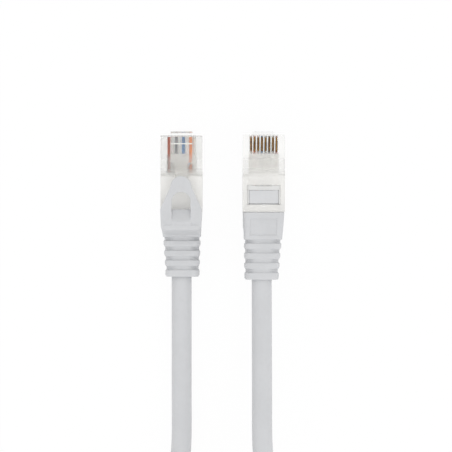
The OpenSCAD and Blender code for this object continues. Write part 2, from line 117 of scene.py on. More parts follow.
def length_of(line: Sequence[Vector]) -> float:
    """Returns the length of a line of points."""
    return sum((b - a).length for a, b in zip(line, line[1:]))


# ---------------------------------------------------------------- meshes


def rounded_ring(
    u: float, width: float, low: float, high: float, low_r: float, high_r: float, steps: int = 6
) -> Ring:
    """Draws a rounded rectangle across a plug.

    Args:
        u: The ring's distance behind the front face.
        width: The ring's width.
        low: The height of its lower side above the contact face.
        high: The height of its upper side above the contact face.
        low_r: The radius of its two lower corners.
        high_r: The radius of its two upper corners.
        steps: The number of steps round each corner.

    Returns:
        The ring's points, in the plug's own frame.
    """
    limit = min(width, high - low) / 2 - 0.01
    low_r, high_r = min(low_r, limit), min(high_r, limit)
    corners = (
        (width / 2 - high_r, high - high_r, high_r, 0),
        (high_r - width / 2, high - high_r, high_r, 90),
        (low_r - width / 2, low + low_r, low_r, 180),
        (width / 2 - low_r, low + low_r, low_r, 270),
    )
    ring = []
    for x, z, radius, first in corners:
        for step in range(steps + 1):
            angle = math.radians(first + 90 * step / steps)
            ring.append(Vector((x + radius * math.cos(angle), -u, z + radius * math.sin(angle))))
    return ring


def loft(mesh: bmesh.types.BMesh, rings: Iterable[Ring]) -> None:
    """Adds a closed skin over rings that have the same number of points.

    Args:
        mesh: The mesh that gets the skin.
        rings: The rings in order.
    """
    levels = [[mesh.verts.new(point) for point in ring] for ring in rings]
    for near, far in zip(levels, levels[1:]):
        for k in range(len(near)):
            mesh.faces.new((near[k - 1], near[k], far[k], far[k - 1]))
    mesh.faces.new(levels[0][::-1])
    mesh.faces.new(levels[-1])


def slab(mesh: bmesh.types.BMesh, outline: Sequence[Sequence[float]], rise: Sequence[float]) -> None:
    """Adds a flat outline pushed out to a closed slab.

    Args:
        mesh: The mesh that gets the slab.
        outline: The points of the outline.
        rise: The way and the distance that the outline is pushed.
    """
    near = [mesh.verts.new(point) for point in outline]
    far = [mesh.verts.new(Vector(point) + Vector(rise)) for point in outline]
    for k in range(len(near)):
        mesh.faces.new((near[k - 1], near[k], far[k], far[k - 1]))
    mesh.faces.new(near[::-1])
    mesh.faces.new(far)


def tube(
    mesh: bmesh.types.BMesh, line: Sequence[Vector], radius: float, sides: int, finish: int = 0
) -> None:
    """Adds a round tube with softened ends along a line, with its length and its turn as UV.

    Args:
        mesh: The mesh that gets the tube.
        line: The points of the tube's centre line, none of them straight above another.
        radius: The tube's radius.
        sides: The number of faces round the tube.
        finish: The index of the tube's material.
    """
    soft_end = 0.25 * radius
    count = len(line)
    laid = mesh.loops.layers.uv.verify()
    rings: list[tuple[float, list[bmesh.types.BMVert]]] = []

    def add_ring(place: Vector, ahead: Vector, wide: float, along: float) -> None:
        """Adds one ring of points square to the line."""
        across = ahead.cross(Vector((0, 0, 1))).normalized()
        up = across.cross(ahead)
        turns = [2 * math.pi * k / sides for k in range(sides)]
        rings.append((along, [
            mesh.verts.new(place + wide * (math.cos(a) * across + math.sin(a) * up)) for a in turns
        ]))

    along = 0.0
    for i, place in enumerate(line):
        ahead = (line[min(i + 1, count - 1)] - line[max(i - 1, 0)]).normalized()
        along += (place - line[i - 1]).length if i else 0.0
        if i == 0:
            add_ring(place, ahead, radius - soft_end, along)
            add_ring(place + ahead * soft_end, ahead, radius, along + soft_end)
        elif i == count - 1:
            add_ring(place - ahead * soft_end, ahead, radius, along - soft_end)
            add_ring(place, ahead, radius - soft_end, along)
        elif (place - line[0]).length > 2 * soft_end and (place - line[-1]).length > 2 * soft_end:
            add_ring(place, ahead, radius, along)
    for (start, near), (end, far) in zip(rings, rings[1:]):
        for k in range(sides):
            face = mesh.faces.new((near[k - 1], near[k], far[k], far[k - 1]))
            face.material_index = finish
            turn = (k - 1) % sides
            for loop, uv in zip(face.loops, (
                (start, turn), (start, turn + 1), (end, turn + 1), (end, turn)
            )):
                loop[laid].uv = (uv[0], uv[1] / sides)
    for cap in (rings[0][1][::-1], rings[-1][1]):
        mesh.faces.new(cap).material_index = finish


def as_piece(
    name: str, mesh: bmesh.types.BMesh, place: Matrix, finishes: Sequence["Finish"]
) -> bpy.types.Object:
    """Turns a finished mesh into a piece of the scene.

    Args:
        name: The name of the piece.
        mesh: The mesh in millimetres, which is used up.
        place: The matrix from the mesh to the row frame in metres.
        finishes: The finishes of the piece, in the order of its material indices.

    Returns:
        The new object, with its place in its mesh.
    """
    bmesh.ops.recalc_face_normals(mesh, faces=mesh.faces)
    mesh.transform(place)
    data = bpy.data.meshes.new(name)
    mesh.to_mesh(data)
    mesh.free()
    data.polygons.foreach_set("use_smooth", [True] * len(data.polygons))
    for finish in finishes:
        data.materials.append(finish.material())
    piece = bpy.data.objects.new(name, data)
    bpy.context.scene.collection.objects.link(piece)
    return piece


def soften_edges(
    piece: bpy.types.Object, width: float, join: float = 0.002, keep_apart: bool = True
) -> None:
    """Rounds the sharp edges of a piece with modifiers and leaves its own mesh as it is.

    Args:
        piece: The piece, a CAD node among them.
        width: The width of the rounded edges in millimetres.
        join: The distance under which points are joined first, in millimetres.
        keep_apart: Whether the edges get narrower where they would meet.
    """
    weld = piece.modifiers.new("join_points", "WELD")
    weld.merge_threshold = join * MM
    edges = piece.modifiers.new("soft_edges", "BEVEL")
    edges.width = width * MM
    edges.segments = 3
    edges.limit_method = "ANGLE"
    edges.angle_limit = math.radians(30)
    edges.miter_outer = "MITER_ARC"
    edges.use_clamp_overlap = keep_apart
    piece.modifiers.new("even_shading", "WEIGHTED_NORMAL").keep_sharp = False


# ---------------------------------------------------------------- materials


def give(tree: bpy.types.NodeTree, target: Socket, value: Any) -> None:
    """Gives a node's input what it needs.

    Args:
        tree: The tree that the node is in.
        target: The input.
        value: A socket to link, or a number or a colour to set.
    """
    if isinstance(value, Socket):
        tree.links.new(value, target)
    elif target.type == "RGBA":
        target.default_value = (*value, 1)
    else:
        target.default_value = value


class Nodes:
    """Adds nodes and links to one node tree."""

    def __init__(self, tree: bpy.types.NodeTree) -> None:
        """Takes the tree that gets the nodes."""
        self.tree = tree

    def add(self, kind: str, inputs: dict[str | int, Any] | None = None, **settings: Any) -> bpy.types.Node:
        """Adds a node.

        Args:
            kind: The node's type, without the words ShaderNode in front.
            inputs: The node's inputs by name or number. A socket is linked, and any other value is set.
            settings: The node's own settings.

        Returns:
            The new node.
        """
        node = self.tree.nodes.new(f"ShaderNode{kind}")
        for name, value in settings.items():
            setattr(node, name, value)
        for name, value in (inputs or {}).items():
            give(self.tree, node.inputs[name], value)
        return node

    def maths(self, operation: str, *values: Any) -> Socket:
        """Adds a Math node.

        Args:
            operation: What the node does.
            values: Its inputs, sockets or numbers.

        Returns:
            The node's output.
        """
        return self.add("Math", dict(enumerate(values)), operation=operation).outputs[0]

    def mix(self, share: Any, first: Any, second: Any) -> Socket:
        """Mixes two colours.

        Args:
            share: The share of the second colour, from 0 to 1.
            first: The first colour.
            second: The second colour.

        Returns:
            The mixed colour.
        """
        return self.add("Mix", {0: share, 6: first, 7: second}, data_type="RGBA").outputs[2]

    def ramp(self, value: Socket, low: float, high: float) -> Socket:
        """Stretches a value so that low gives 0 and high gives 1, smoothly.

        Args:
            value: The value to stretch.
            low: The value that gives 0.
            high: The value that gives 1.

        Returns:
            The stretched value.
        """
        inputs = {"Value": value, "From Min": low, "From Max": high}
        return self.add("MapRange", inputs, interpolation_type="SMOOTHSTEP").outputs["Result"]


class Effect:
    """A shader node group that several finishes share. It is built once.

    Attributes:
        built: The trees that are already built, by name.
    """

    built: dict[str, bpy.types.NodeTree] = {}

    def __init__(
        self, name: str, inputs: dict[str, tuple[str, float]], outputs: dict[str, str],
        fill: Callable[["Nodes", bpy.types.Node, bpy.types.Node], None],
    ) -> None:
        """Describes the group.

        Args:
            name: The group's name.
            inputs: The kind and the usual value of each input, by name.
            outputs: The kind of each output, by name.
            fill: The function that fills the group, given its nodes, its input node and its output node.
        """
        self.name, self.inputs, self.outputs, self.fill = name, inputs, outputs, fill

    def tree(self) -> bpy.types.NodeTree:
        """Returns the group's node tree, which the first call builds."""
        if self.name in self.built:
            return self.built[self.name]
        tree = bpy.data.node_groups.new(self.name, "ShaderNodeTree")
        for name, (kind, value) in self.inputs.items():
            made = tree.interface.new_socket(name, in_out="INPUT", socket_type=f"NodeSocket{kind}")
            if kind == "Float":
                made.default_value = value
        for name, kind in self.outputs.items():
            tree.interface.new_socket(name, in_out="OUTPUT", socket_type=f"NodeSocket{kind}")
        nodes = Nodes(tree)
        self.fill(nodes, tree.nodes.new("NodeGroupInput"), tree.nodes.new("NodeGroupOutput"))
        self.built[self.name] = tree
        return tree

    def place(self, nodes: Nodes, inputs: dict[str, Any]) -> bpy.types.Node:
        """Places the group in a material.

        Args:
            nodes: The material's nodes.
            inputs: The group's inputs by name.

        Returns:
            The group node.
        """
        group = nodes.tree.nodes.new("ShaderNodeGroup")
        group.node_tree = self.tree()
        for name, value in inputs.items():
            give(nodes.tree, group.inputs[name], value)
        return group


def fill_cloudiness(nodes: Nodes, given: bpy.types.Node, result: bpy.types.Node) -> None:
    """Fills the group that lets a moulding's colour drift between two tones.

    Args:
        nodes: The group's nodes.
        given: The group's input node.
        result: The group's output node.
    """
    place = nodes.add("TexCoord").outputs["Object"]
    broad = nodes.add("TexNoise", {"Vector": place, "Scale": given.outputs["Scale"], "Detail": 3.0})
    fine_scale = nodes.maths("MULTIPLY", given.outputs["Scale"], 7.0)
    fine = nodes.add("TexNoise", {"Vector": place, "Scale": fine_scale, "Detail": 2.0})
    both = nodes.maths("ADD", nodes.maths("MULTIPLY", broad.outputs[0], 0.7),
                       nodes.maths("MULTIPLY", fine.outputs[0], 0.3))
    share = nodes.maths("MULTIPLY", nodes.ramp(both, 0.38, 0.62), given.outputs["Amount"])
    nodes.tree.links.new(nodes.mix(share, given.outputs["Tone"], given.outputs["Other Tone"]),
                         result.inputs["Colour"])
    nodes.tree.links.new(share, result.inputs["Mask"])


def fill_moulded_grain(nodes: Nodes, given: bpy.types.Node, result: bpy.types.Node) -> None:
    """Fills the group of the fine spark-eroded grain that a mould leaves.

    Args:
        nodes: The group's nodes.
        given: The group's input node.
        result: The group's output node.
    """
    place = nodes.add("TexCoord").outputs["Object"]
    cells = nodes.add("TexVoronoi", {"Vector": place, "Scale": given.outputs["Scale"]}, feature="F1")
    half_scale = nodes.maths("MULTIPLY", given.outputs["Scale"], 0.45)
    noise = nodes.add("TexNoise", {"Vector": place, "Scale": half_scale, "Detail": 4.0})
    height = nodes.maths("ADD", nodes.maths("MULTIPLY", cells.outputs["Distance"], 0.45),
                         nodes.maths("MULTIPLY", noise.outputs[0], 0.55))
    nodes.tree.links.new(height, result.inputs["Height"])
    drift = nodes.maths("MULTIPLY", nodes.maths("SUBTRACT", noise.outputs[0], 0.5),
                        given.outputs["Gloss Drift"])
    nodes.tree.links.new(nodes.maths("ADD", given.outputs["Roughness"], drift),
                         result.inputs["Roughness"])


def fill_dust(nodes: Nodes, given: bpy.types.Node, result: bpy.types.Node) -> None:
    """Fills the group of the sparse specks of dust and tiny scuffs on a handled surface.

    Args:
        nodes: The group's nodes.
        given: The group's input node.
        result: The group's output node.
    """
    place = nodes.add("TexCoord").outputs["Object"]
    specks = nodes.add("TexVoronoi", {"Vector": place, "Scale": given.outputs["Scale"]}, feature="F1")
    patches = nodes.add("TexNoise", {"Vector": place, "Scale": 240.0, "Detail": 2.0})
    dots = nodes.ramp(specks.outputs["Distance"], 0.16, 0.06)
    where = nodes.ramp(patches.outputs[0], 0.52, 0.68)
    amount = nodes.maths("MULTIPLY", nodes.maths("MULTIPLY", dots, where), given.outputs["Cover"])
    nodes.tree.links.new(nodes.mix(amount, given.outputs["Under"], given.outputs["Dust"]),
                         result.inputs["Colour"])
    nodes.tree.links.new(amount, result.inputs["Mask"])


def fill_edge_wear(nodes: Nodes, given: bpy.types.Node, result: bpy.types.Node) -> None:
    """Fills the group of the paler, rubbed edges of a soft moulding.

    Args:
        nodes: The group's nodes.
        given: The group's input node.
        result: The group's output node.
    """
    place = nodes.add("TexCoord").outputs["Object"]
    bent = nodes.add("NewGeometry").outputs["Pointiness"]
    rubbed = nodes.add("TexNoise", {"Vector": place, "Scale": 420.0, "Detail": 3.0})
    edge = nodes.ramp(bent, 0.51, 0.58)
    mask = nodes.maths("MULTIPLY", nodes.maths("MULTIPLY", edge, rubbed.outputs[0]),
                       given.outputs["Amount"])
    nodes.tree.links.new(nodes.mix(mask, given.outputs["Under"], given.outputs["Worn"]),
                         result.inputs["Colour"])
    nodes.tree.links.new(mask, result.inputs["Mask"])


CLOUDINESS = Effect(
    "cloudiness",
    {"Tone": ("Color", 0), "Other Tone": ("Color", 0), "Scale": ("Float", 150), "Amount": ("Float", 1)},
    {"Colour": "Color", "Mask": "Float"}, fill_cloudiness,
)
MOULDED_GRAIN = Effect(
    "moulded_grain",
    {"Scale": ("Float", 4000), "Roughness": ("Float", 0.5), "Gloss Drift": ("Float", 0.1)},
    {"Height": "Float", "Roughness": "Float"}, fill_moulded_grain,
)
DUST = Effect(
    "dust",
    {"Under": ("Color", 0), "Dust": ("Color", 0), "Scale": ("Float", 900), "Cover": ("Float", 0.2)},
    {"Colour": "Color", "Mask": "Float"}, fill_dust,
)
EDGE_WEAR = Effect(
    "edge_wear",
    {"Under": ("Color", 0), "Worn": ("Color", 0), "Amount": ("Float", 0.5)},
    {"Colour": "Color", "Mask": "Float"}, fill_edge_wear,
)


@dataclass(frozen=True)
class Finish:
    """A surface finish, whose material is made once.

    Attributes:
        name: The name of the material.
    """

    name: str

    def material(self) -> bpy.types.Material:
        """Returns the finish's material, which the first call makes."""
        known = bpy.data.materials.get(self.name)
        if known is not None:
            return known
        made = bpy.data.materials.new(self.name)
        made.use_nodes = True
        made.node_tree.nodes.clear()
        nodes = Nodes(made.node_tree)
        surface, volume = self.surface(nodes)
        output = nodes.add("OutputMaterial", {"Surface": surface})
        if volume is not None:
            made.node_tree.links.new(volume, output.inputs["Volume"])
        return made

    def surface(self, nodes: Nodes) -> tuple[Socket, Socket | None]:
        """Builds the surface shader, and the volume shader if there is one.

        Args:
            nodes: The material's nodes.

        Returns:
            The surface's shader socket, and the volume's or None.
        """
        raise NotImplementedError


@dataclass(frozen=True)
class SoftPvc(Finish):
    """Matt soft PVC, as boots are moulded in and jackets are drawn in.

    Attributes:
        tone: The main colour.
        other_tone: The colour that the main one drifts to.
        roughness: The mean roughness.
        grain_scale: The grain's fineness, in cells to the metre.
        grain_depth: The depth of the grain in millimetres.
        wear: How pale the rubbed edges are, from 0 to 1.
    """

    tone: Colour
    other_tone: Colour
    roughness: float = 0.5
    grain_scale: float = 5200
    grain_depth: float = 0.012
    wear: float = 0.35

    def surface(self, nodes: Nodes) -> tuple[Socket, Socket | None]:
        """Builds clouded plastic with fine grain, rubbed edges and a little dust."""
        tones = {"Tone": self.tone, "Other Tone": self.other_tone, "Scale": 140.0, "Amount": 1.0}
        cloud = CLOUDINESS.place(nodes, tones)
        worn = EDGE_WEAR.place(nodes, {
            "Under": cloud.outputs["Colour"], "Worn": shade(232, 233, 234), "Amount": self.wear})
        dusty = DUST.place(nodes, {
            "Under": worn.outputs["Colour"], "Dust": shade(188, 186, 182), "Scale": 1500.0, "Cover": 0.25})
        grain = MOULDED_GRAIN.place(nodes, {
            "Scale": self.grain_scale, "Roughness": self.roughness, "Gloss Drift": 0.25})
        bump = nodes.add("Bump", {
            "Height": grain.outputs["Height"], "Distance": self.grain_depth * MM, "Strength": 0.6})
        return nodes.add("BsdfPrincipled", {
            "Base Color": dusty.outputs["Colour"], "Roughness": grain.outputs["Roughness"],
            "Normal": bump.outputs[0], "IOR": 1.5, "Specular IOR Level": 0.35,
            "Subsurface Weight": 0.12, "Subsurface Radius": (0.9, 0.85, 0.8),
            "Subsurface Scale": 0.6 * MM,
        }).outputs[0], None


@dataclass(frozen=True)
class ClearPlastic(Finish):
    """Clear moulded polycarbonate, whose rear is matter than its nose.

    Attributes:
        tone: The colour of light that has gone through a thin wall.
        milk: The colour of the part of the surface that scatters.
        roughness: The mean roughness.
        frosts: The share that scatters as if frosted, from 0 to 1, at the nose, in the middle and behind.
        steps_y: Where the middle and the rear begin, along y of the row frame, in millimetres.
        step_half: Half the length over which the frost changes there.
        contact_frost: The same share on the contact side of the nose.
        contact_z: The heights where the frost of the contact side begins and where it is full.
        density: How strongly the plastic takes up light, per metre.
        refraction: The index of refraction, low for a soft look of thin walls.
        line_y: Where a fine frosted line runs across as a painted highlight of a step's edge, along y of
            the row frame, or None.
    """

    tone: Colour
    milk: Colour = shade(252, 251, 248)
    roughness: float = 0.03
    frosts: tuple[float, float, float] = (0.05, 0.25, 0.8)
    steps_y: tuple[float, float] = (13.5, 8.9)
    step_half: float = 0.7
    contact_frost: float = 0.05
    contact_z: tuple[float, float] = (0.0, -1.0)
    density: float = 6.0
    refraction: float = 1.3
    line_y: float | None = None

    def surface(self, nodes: Nodes) -> tuple[Socket, Socket | None]:
        """Builds glass-clear plastic with flow marks, which lets the light in to what it covers."""
        grain = MOULDED_GRAIN.place(nodes, {
            "Scale": 1800.0, "Roughness": self.roughness, "Gloss Drift": 0.03})
        flow = nodes.add("Bump", {
            "Height": grain.outputs["Height"], "Distance": 0.006 * MM, "Strength": 0.35})
        dusty = DUST.place(nodes, {
            "Under": self.tone, "Dust": shade(214, 212, 206), "Scale": 1300.0, "Cover": 0.35})
        clear = nodes.add("BsdfPrincipled", {
            "Base Color": dusty.outputs["Colour"], "Roughness": grain.outputs["Roughness"],
            "Normal": flow.outputs[0], "Transmission Weight": 1.0, "IOR": self.refraction,
        })
        paler = tuple(0.96 * level for level in self.milk)
        cloud = CLOUDINESS.place(nodes, {
            "Tone": self.milk, "Other Tone": paler, "Scale": 300.0, "Amount": 1.0})
        milk = nodes.add("BsdfDiffuse", {"Color": cloud.outputs["Colour"]})
        place = nodes.add("SeparateXYZ", {0: nodes.add("TexCoord").outputs["Object"]}).outputs
        begin_z, full_z = self.contact_z
        share = nodes.maths("MULTIPLY_ADD", nodes.ramp(place["Z"], begin_z * MM, full_z * MM),
                            self.contact_frost - self.frosts[0], self.frosts[0])
        for step_y, frost in zip(self.steps_y, self.frosts[1:]):
            behind = nodes.ramp(
                place["Y"], (step_y + self.step_half) * MM, (step_y - self.step_half) * MM)
            rise = nodes.maths("SUBTRACT", frost, share)
            share = nodes.maths("MULTIPLY_ADD", behind, rise, share)
        # The line is a painted highlight: a narrow band of full frost across, where a step's edge is.
        if self.line_y is not None:
            off = nodes.maths("ABSOLUTE", nodes.maths("SUBTRACT", place["Y"], self.line_y * MM))
            share = nodes.maths("MAXIMUM", share, nodes.ramp(off, 0.16 * MM, 0.08 * MM))
        body = nodes.add("MixShader", {0: share, 1: clear.outputs[0], 2: milk.outputs[0]})
        through = nodes.add("BsdfTransparent", {"Color": (1.0, 1.0, 1.0)})
        rays = nodes.add("LightPath")
        most_bounces = 8
        deep = nodes.maths("GREATER_THAN", rays.outputs["Ray Depth"], most_bounces)
        straight = nodes.maths("MAXIMUM", rays.outputs["Is Shadow Ray"], deep)
        surface = nodes.add("MixShader", {0: straight, 1: body.outputs[0], 2: through.outputs[0]})
        taken = nodes.add("VolumeAbsorption", {"Color": self.tone, "Density": self.density})
        return surface.outputs[0], taken.outputs[0]


@dataclass(frozen=True)
class GoldPlate(Finish):
    """Thin gold plate on stamped bronze, a little scratched, with a painted dark reflection and painted
    highlights in its colour.

    Attributes:
        tone: The main colour, darkened as a painted dark reflection of the slots round the contacts.
        bright: The colour of the painted highlights in patches.
    """

    tone: Colour = shade(116, 84, 54)
    bright: Colour = shade(190, 148, 88)

    def surface(self, nodes: Nodes) -> tuple[Socket, Socket | None]:
        """Builds brushed metal with painted highlights in patches over a painted dark reflection."""
        # The dark main tone is a painted reflection of the dark slots, and the brighter patches are painted
        # highlights.
        cloud = CLOUDINESS.place(nodes, {
            "Tone": self.tone, "Other Tone": self.bright, "Scale": 900.0, "Amount": 0.6})
        dusty = DUST.place(nodes, {
            "Under": cloud.outputs["Colour"], "Dust": shade(70, 48, 30), "Scale": 2600.0, "Cover": 0.5})
        place = nodes.add("Mapping", {
            "Vector": nodes.add("TexCoord").outputs["Object"], "Scale": (9000.0, 500.0, 9000.0)})
        brushed = nodes.add("TexNoise", {"Vector": place.outputs[0], "Scale": 1.0, "Detail": 2.0})
        bump = nodes.add("Bump", {
            "Height": brushed.outputs[0], "Distance": 0.004 * MM, "Strength": 0.5})
        rough = nodes.maths("ADD", nodes.maths("MULTIPLY", brushed.outputs[0], 0.18), 0.2)
        return nodes.add("BsdfPrincipled", {
            "Base Color": dusty.outputs["Colour"], "Metallic": 1.0, "Roughness": rough,
            "Normal": bump.outputs[0]}).outputs[0], None


@dataclass(frozen=True)
class Copper(Finish):
    """Bright drawn copper of a wire's cut end.

    Attributes:
        tone: The main colour.
    """

    tone: Colour = shade(205, 128, 88)

    def surface(self, nodes: Nodes) -> tuple[Socket, Socket | None]:
        """Builds drawn copper with the marks of its cut."""
        cloud = CLOUDINESS.place(nodes, {
            "Tone": self.tone, "Other Tone": shade(168, 96, 66), "Scale": 1400.0, "Amount": 0.7})
        grain = MOULDED_GRAIN.place(nodes, {"Scale": 9000.0, "Roughness": 0.3, "Gloss Drift": 0.2})
        return nodes.add("BsdfPrincipled", {
            "Base Color": cloud.outputs["Colour"], "Metallic": 1.0,
            "Roughness": grain.outputs["Roughness"]}).outputs[0], None


@dataclass(frozen=True)
class Insulation(Finish):
    """Glossy insulation of one wire, in one colour or striped.

    Attributes:
        tone: The main colour.
        stripe: The colour of the stripe that winds round the wire, or None.
    """

    tone: Colour
    stripe: Colour | None = None

    def surface(self, nodes: Nodes) -> tuple[Socket, Socket | None]:
        """Builds the extruded plastic, with a winding stripe where the wire has one."""
        deeper = tuple(0.82 * level for level in self.tone)
        cloud = CLOUDINESS.place(nodes, {
            "Tone": self.tone, "Other Tone": deeper, "Scale": 700.0, "Amount": 0.8})
        colour = cloud.outputs["Colour"]
        if self.stripe is not None:
            laid = nodes.add("SeparateXYZ", {0: nodes.add("UVMap", uv_map="UVMap").outputs[0]})
            lay_length = 24.0
            wound = nodes.maths("ADD", laid.outputs["Y"],
                                nodes.maths("DIVIDE", laid.outputs["X"], lay_length))
            off_stripe = nodes.maths("ABSOLUTE", nodes.maths(
                "SUBTRACT", nodes.maths("FRACT", wound), 0.5))
            colour = nodes.mix(nodes.ramp(off_stripe, 0.17, 0.13), colour, self.stripe)
        grain = MOULDED_GRAIN.place(nodes, {"Scale": 3600.0, "Roughness": 0.34, "Gloss Drift": 0.12})
        bump = nodes.add("Bump", {
            "Height": grain.outputs["Height"], "Distance": 0.004 * MM, "Strength": 0.4})
        return nodes.add("BsdfPrincipled", {
            "Base Color": colour, "Roughness": grain.outputs["Roughness"], "Normal": bump.outputs[0],
            "Subsurface Weight": 0.1, "Subsurface Scale": 0.3 * MM}).outputs[0], None


@dataclass(frozen=True)
class WovenStrap(Finish):
    """Woven hook-and-loop strap.

    Attributes:
        tone: The colour of the yarn.
        thread: The width of one thread in millimetres.
    """

    tone: Colour = shade(44, 44, 47)
    thread: float = 0.55

    def surface(self, nodes: Nodes) -> tuple[Socket, Socket | None]:
        """Builds a plain weave over and under, with painted shade between the threads and a fuzzy sheen."""
        laid = nodes.add("SeparateXYZ", {0: nodes.add("UVMap", uv_map="UVMap").outputs[0]})
        pace = math.pi / self.thread
        along = nodes.maths("SINE", nodes.maths("MULTIPLY", laid.outputs["X"], pace))
        across = nodes.maths("SINE", nodes.maths("MULTIPLY", laid.outputs["Y"], pace))
        over = nodes.maths("MULTIPLY", along, across)
        raised = nodes.ramp(over, -0.6, 0.6)
        cloud = CLOUDINESS.place(nodes, {
            "Tone": self.tone, "Other Tone": shade(62, 62, 66), "Scale": 380.0, "Amount": 0.8})
        # The threads that lie under are near black: painted shade between the threads.
        colour = nodes.mix(raised, shade(20, 20, 22), cloud.outputs["Colour"])
        dusty = DUST.place(nodes, {
            "Under": colour, "Dust": shade(120, 118, 114), "Scale": 1700.0, "Cover": 0.3})
        bump = nodes.add("Bump", {"Height": raised, "Distance": 0.12 * MM, "Strength": 0.8})
        return nodes.add("BsdfPrincipled", {
            "Base Color": dusty.outputs["Colour"], "Roughness": 0.82, "Normal": bump.outputs[0],
            "Sheen Weight": 0.35, "Sheen Roughness": 0.5}).outputs[0], None


BOOT_PVC = SoftPvc("boot_pvc", shade(208, 209, 211), shade(204, 205, 207))
JACKET_PVC = SoftPvc(
    "jacket_pvc", shade(207, 208, 210), shade(204, 205, 207), roughness=0.42, grain_scale=3400,
    grain_depth=0.008, wear=0.15,
)
PLASTIC_TONE = (0.985, 0.985, 0.98)
# The latch's finish has a painted highlight across at y 17.15, over the edge of the step in the recess
# floor below.
CLEAR_LATCH = ClearPlastic(
    "clear_latch", (0.99, 0.99, 0.985), roughness=0.05, frosts=(0.05, 0.08, 0.1), line_y=17.15)
MILKY_BAR = ClearPlastic(
    "milky_bar", PLASTIC_TONE, roughness=0.2, frosts=(0.78, 0.78, 0.92), steps_y=(13.5, 10.5),
    contact_frost=0.78, density=2,
)
# The strain bars get a greyer copy of the milky bar's finish: painted shade.
SHADED_MILKY_BAR = replace(MILKY_BAR, name="milky_bar_painted_shade", milk=shade(231, 231, 230))
GOLD = GoldPlate("gold_plate")
COPPER = Copper("copper")
STRAP = WovenStrap("woven_strap")
WHITE_CORE = shade(250, 247, 242)


class WireColour(Enum):
    """The insulation of the wire at each of the eight contacts."""

    WHITE_ORANGE = Insulation("wire_white_orange", WHITE_CORE, shade(236, 150, 84))
    ORANGE = Insulation("wire_orange", shade(255, 134, 0))
    WHITE_GREY = Insulation("wire_white_grey", WHITE_CORE, shade(170, 170, 172))
    BLUE = Insulation("wire_blue", shade(0, 122, 190))
    WHITE_BLUE = Insulation("wire_white_blue", WHITE_CORE, shade(140, 176, 206))
    GREY = Insulation("wire_grey", shade(122, 122, 128))
    WHITE_BROWN = Insulation("wire_white_brown", WHITE_CORE, shade(176, 112, 84))
    BROWN = Insulation("wire_brown", shade(190, 80, 38))


# ---------------------------------------------------------------- cord


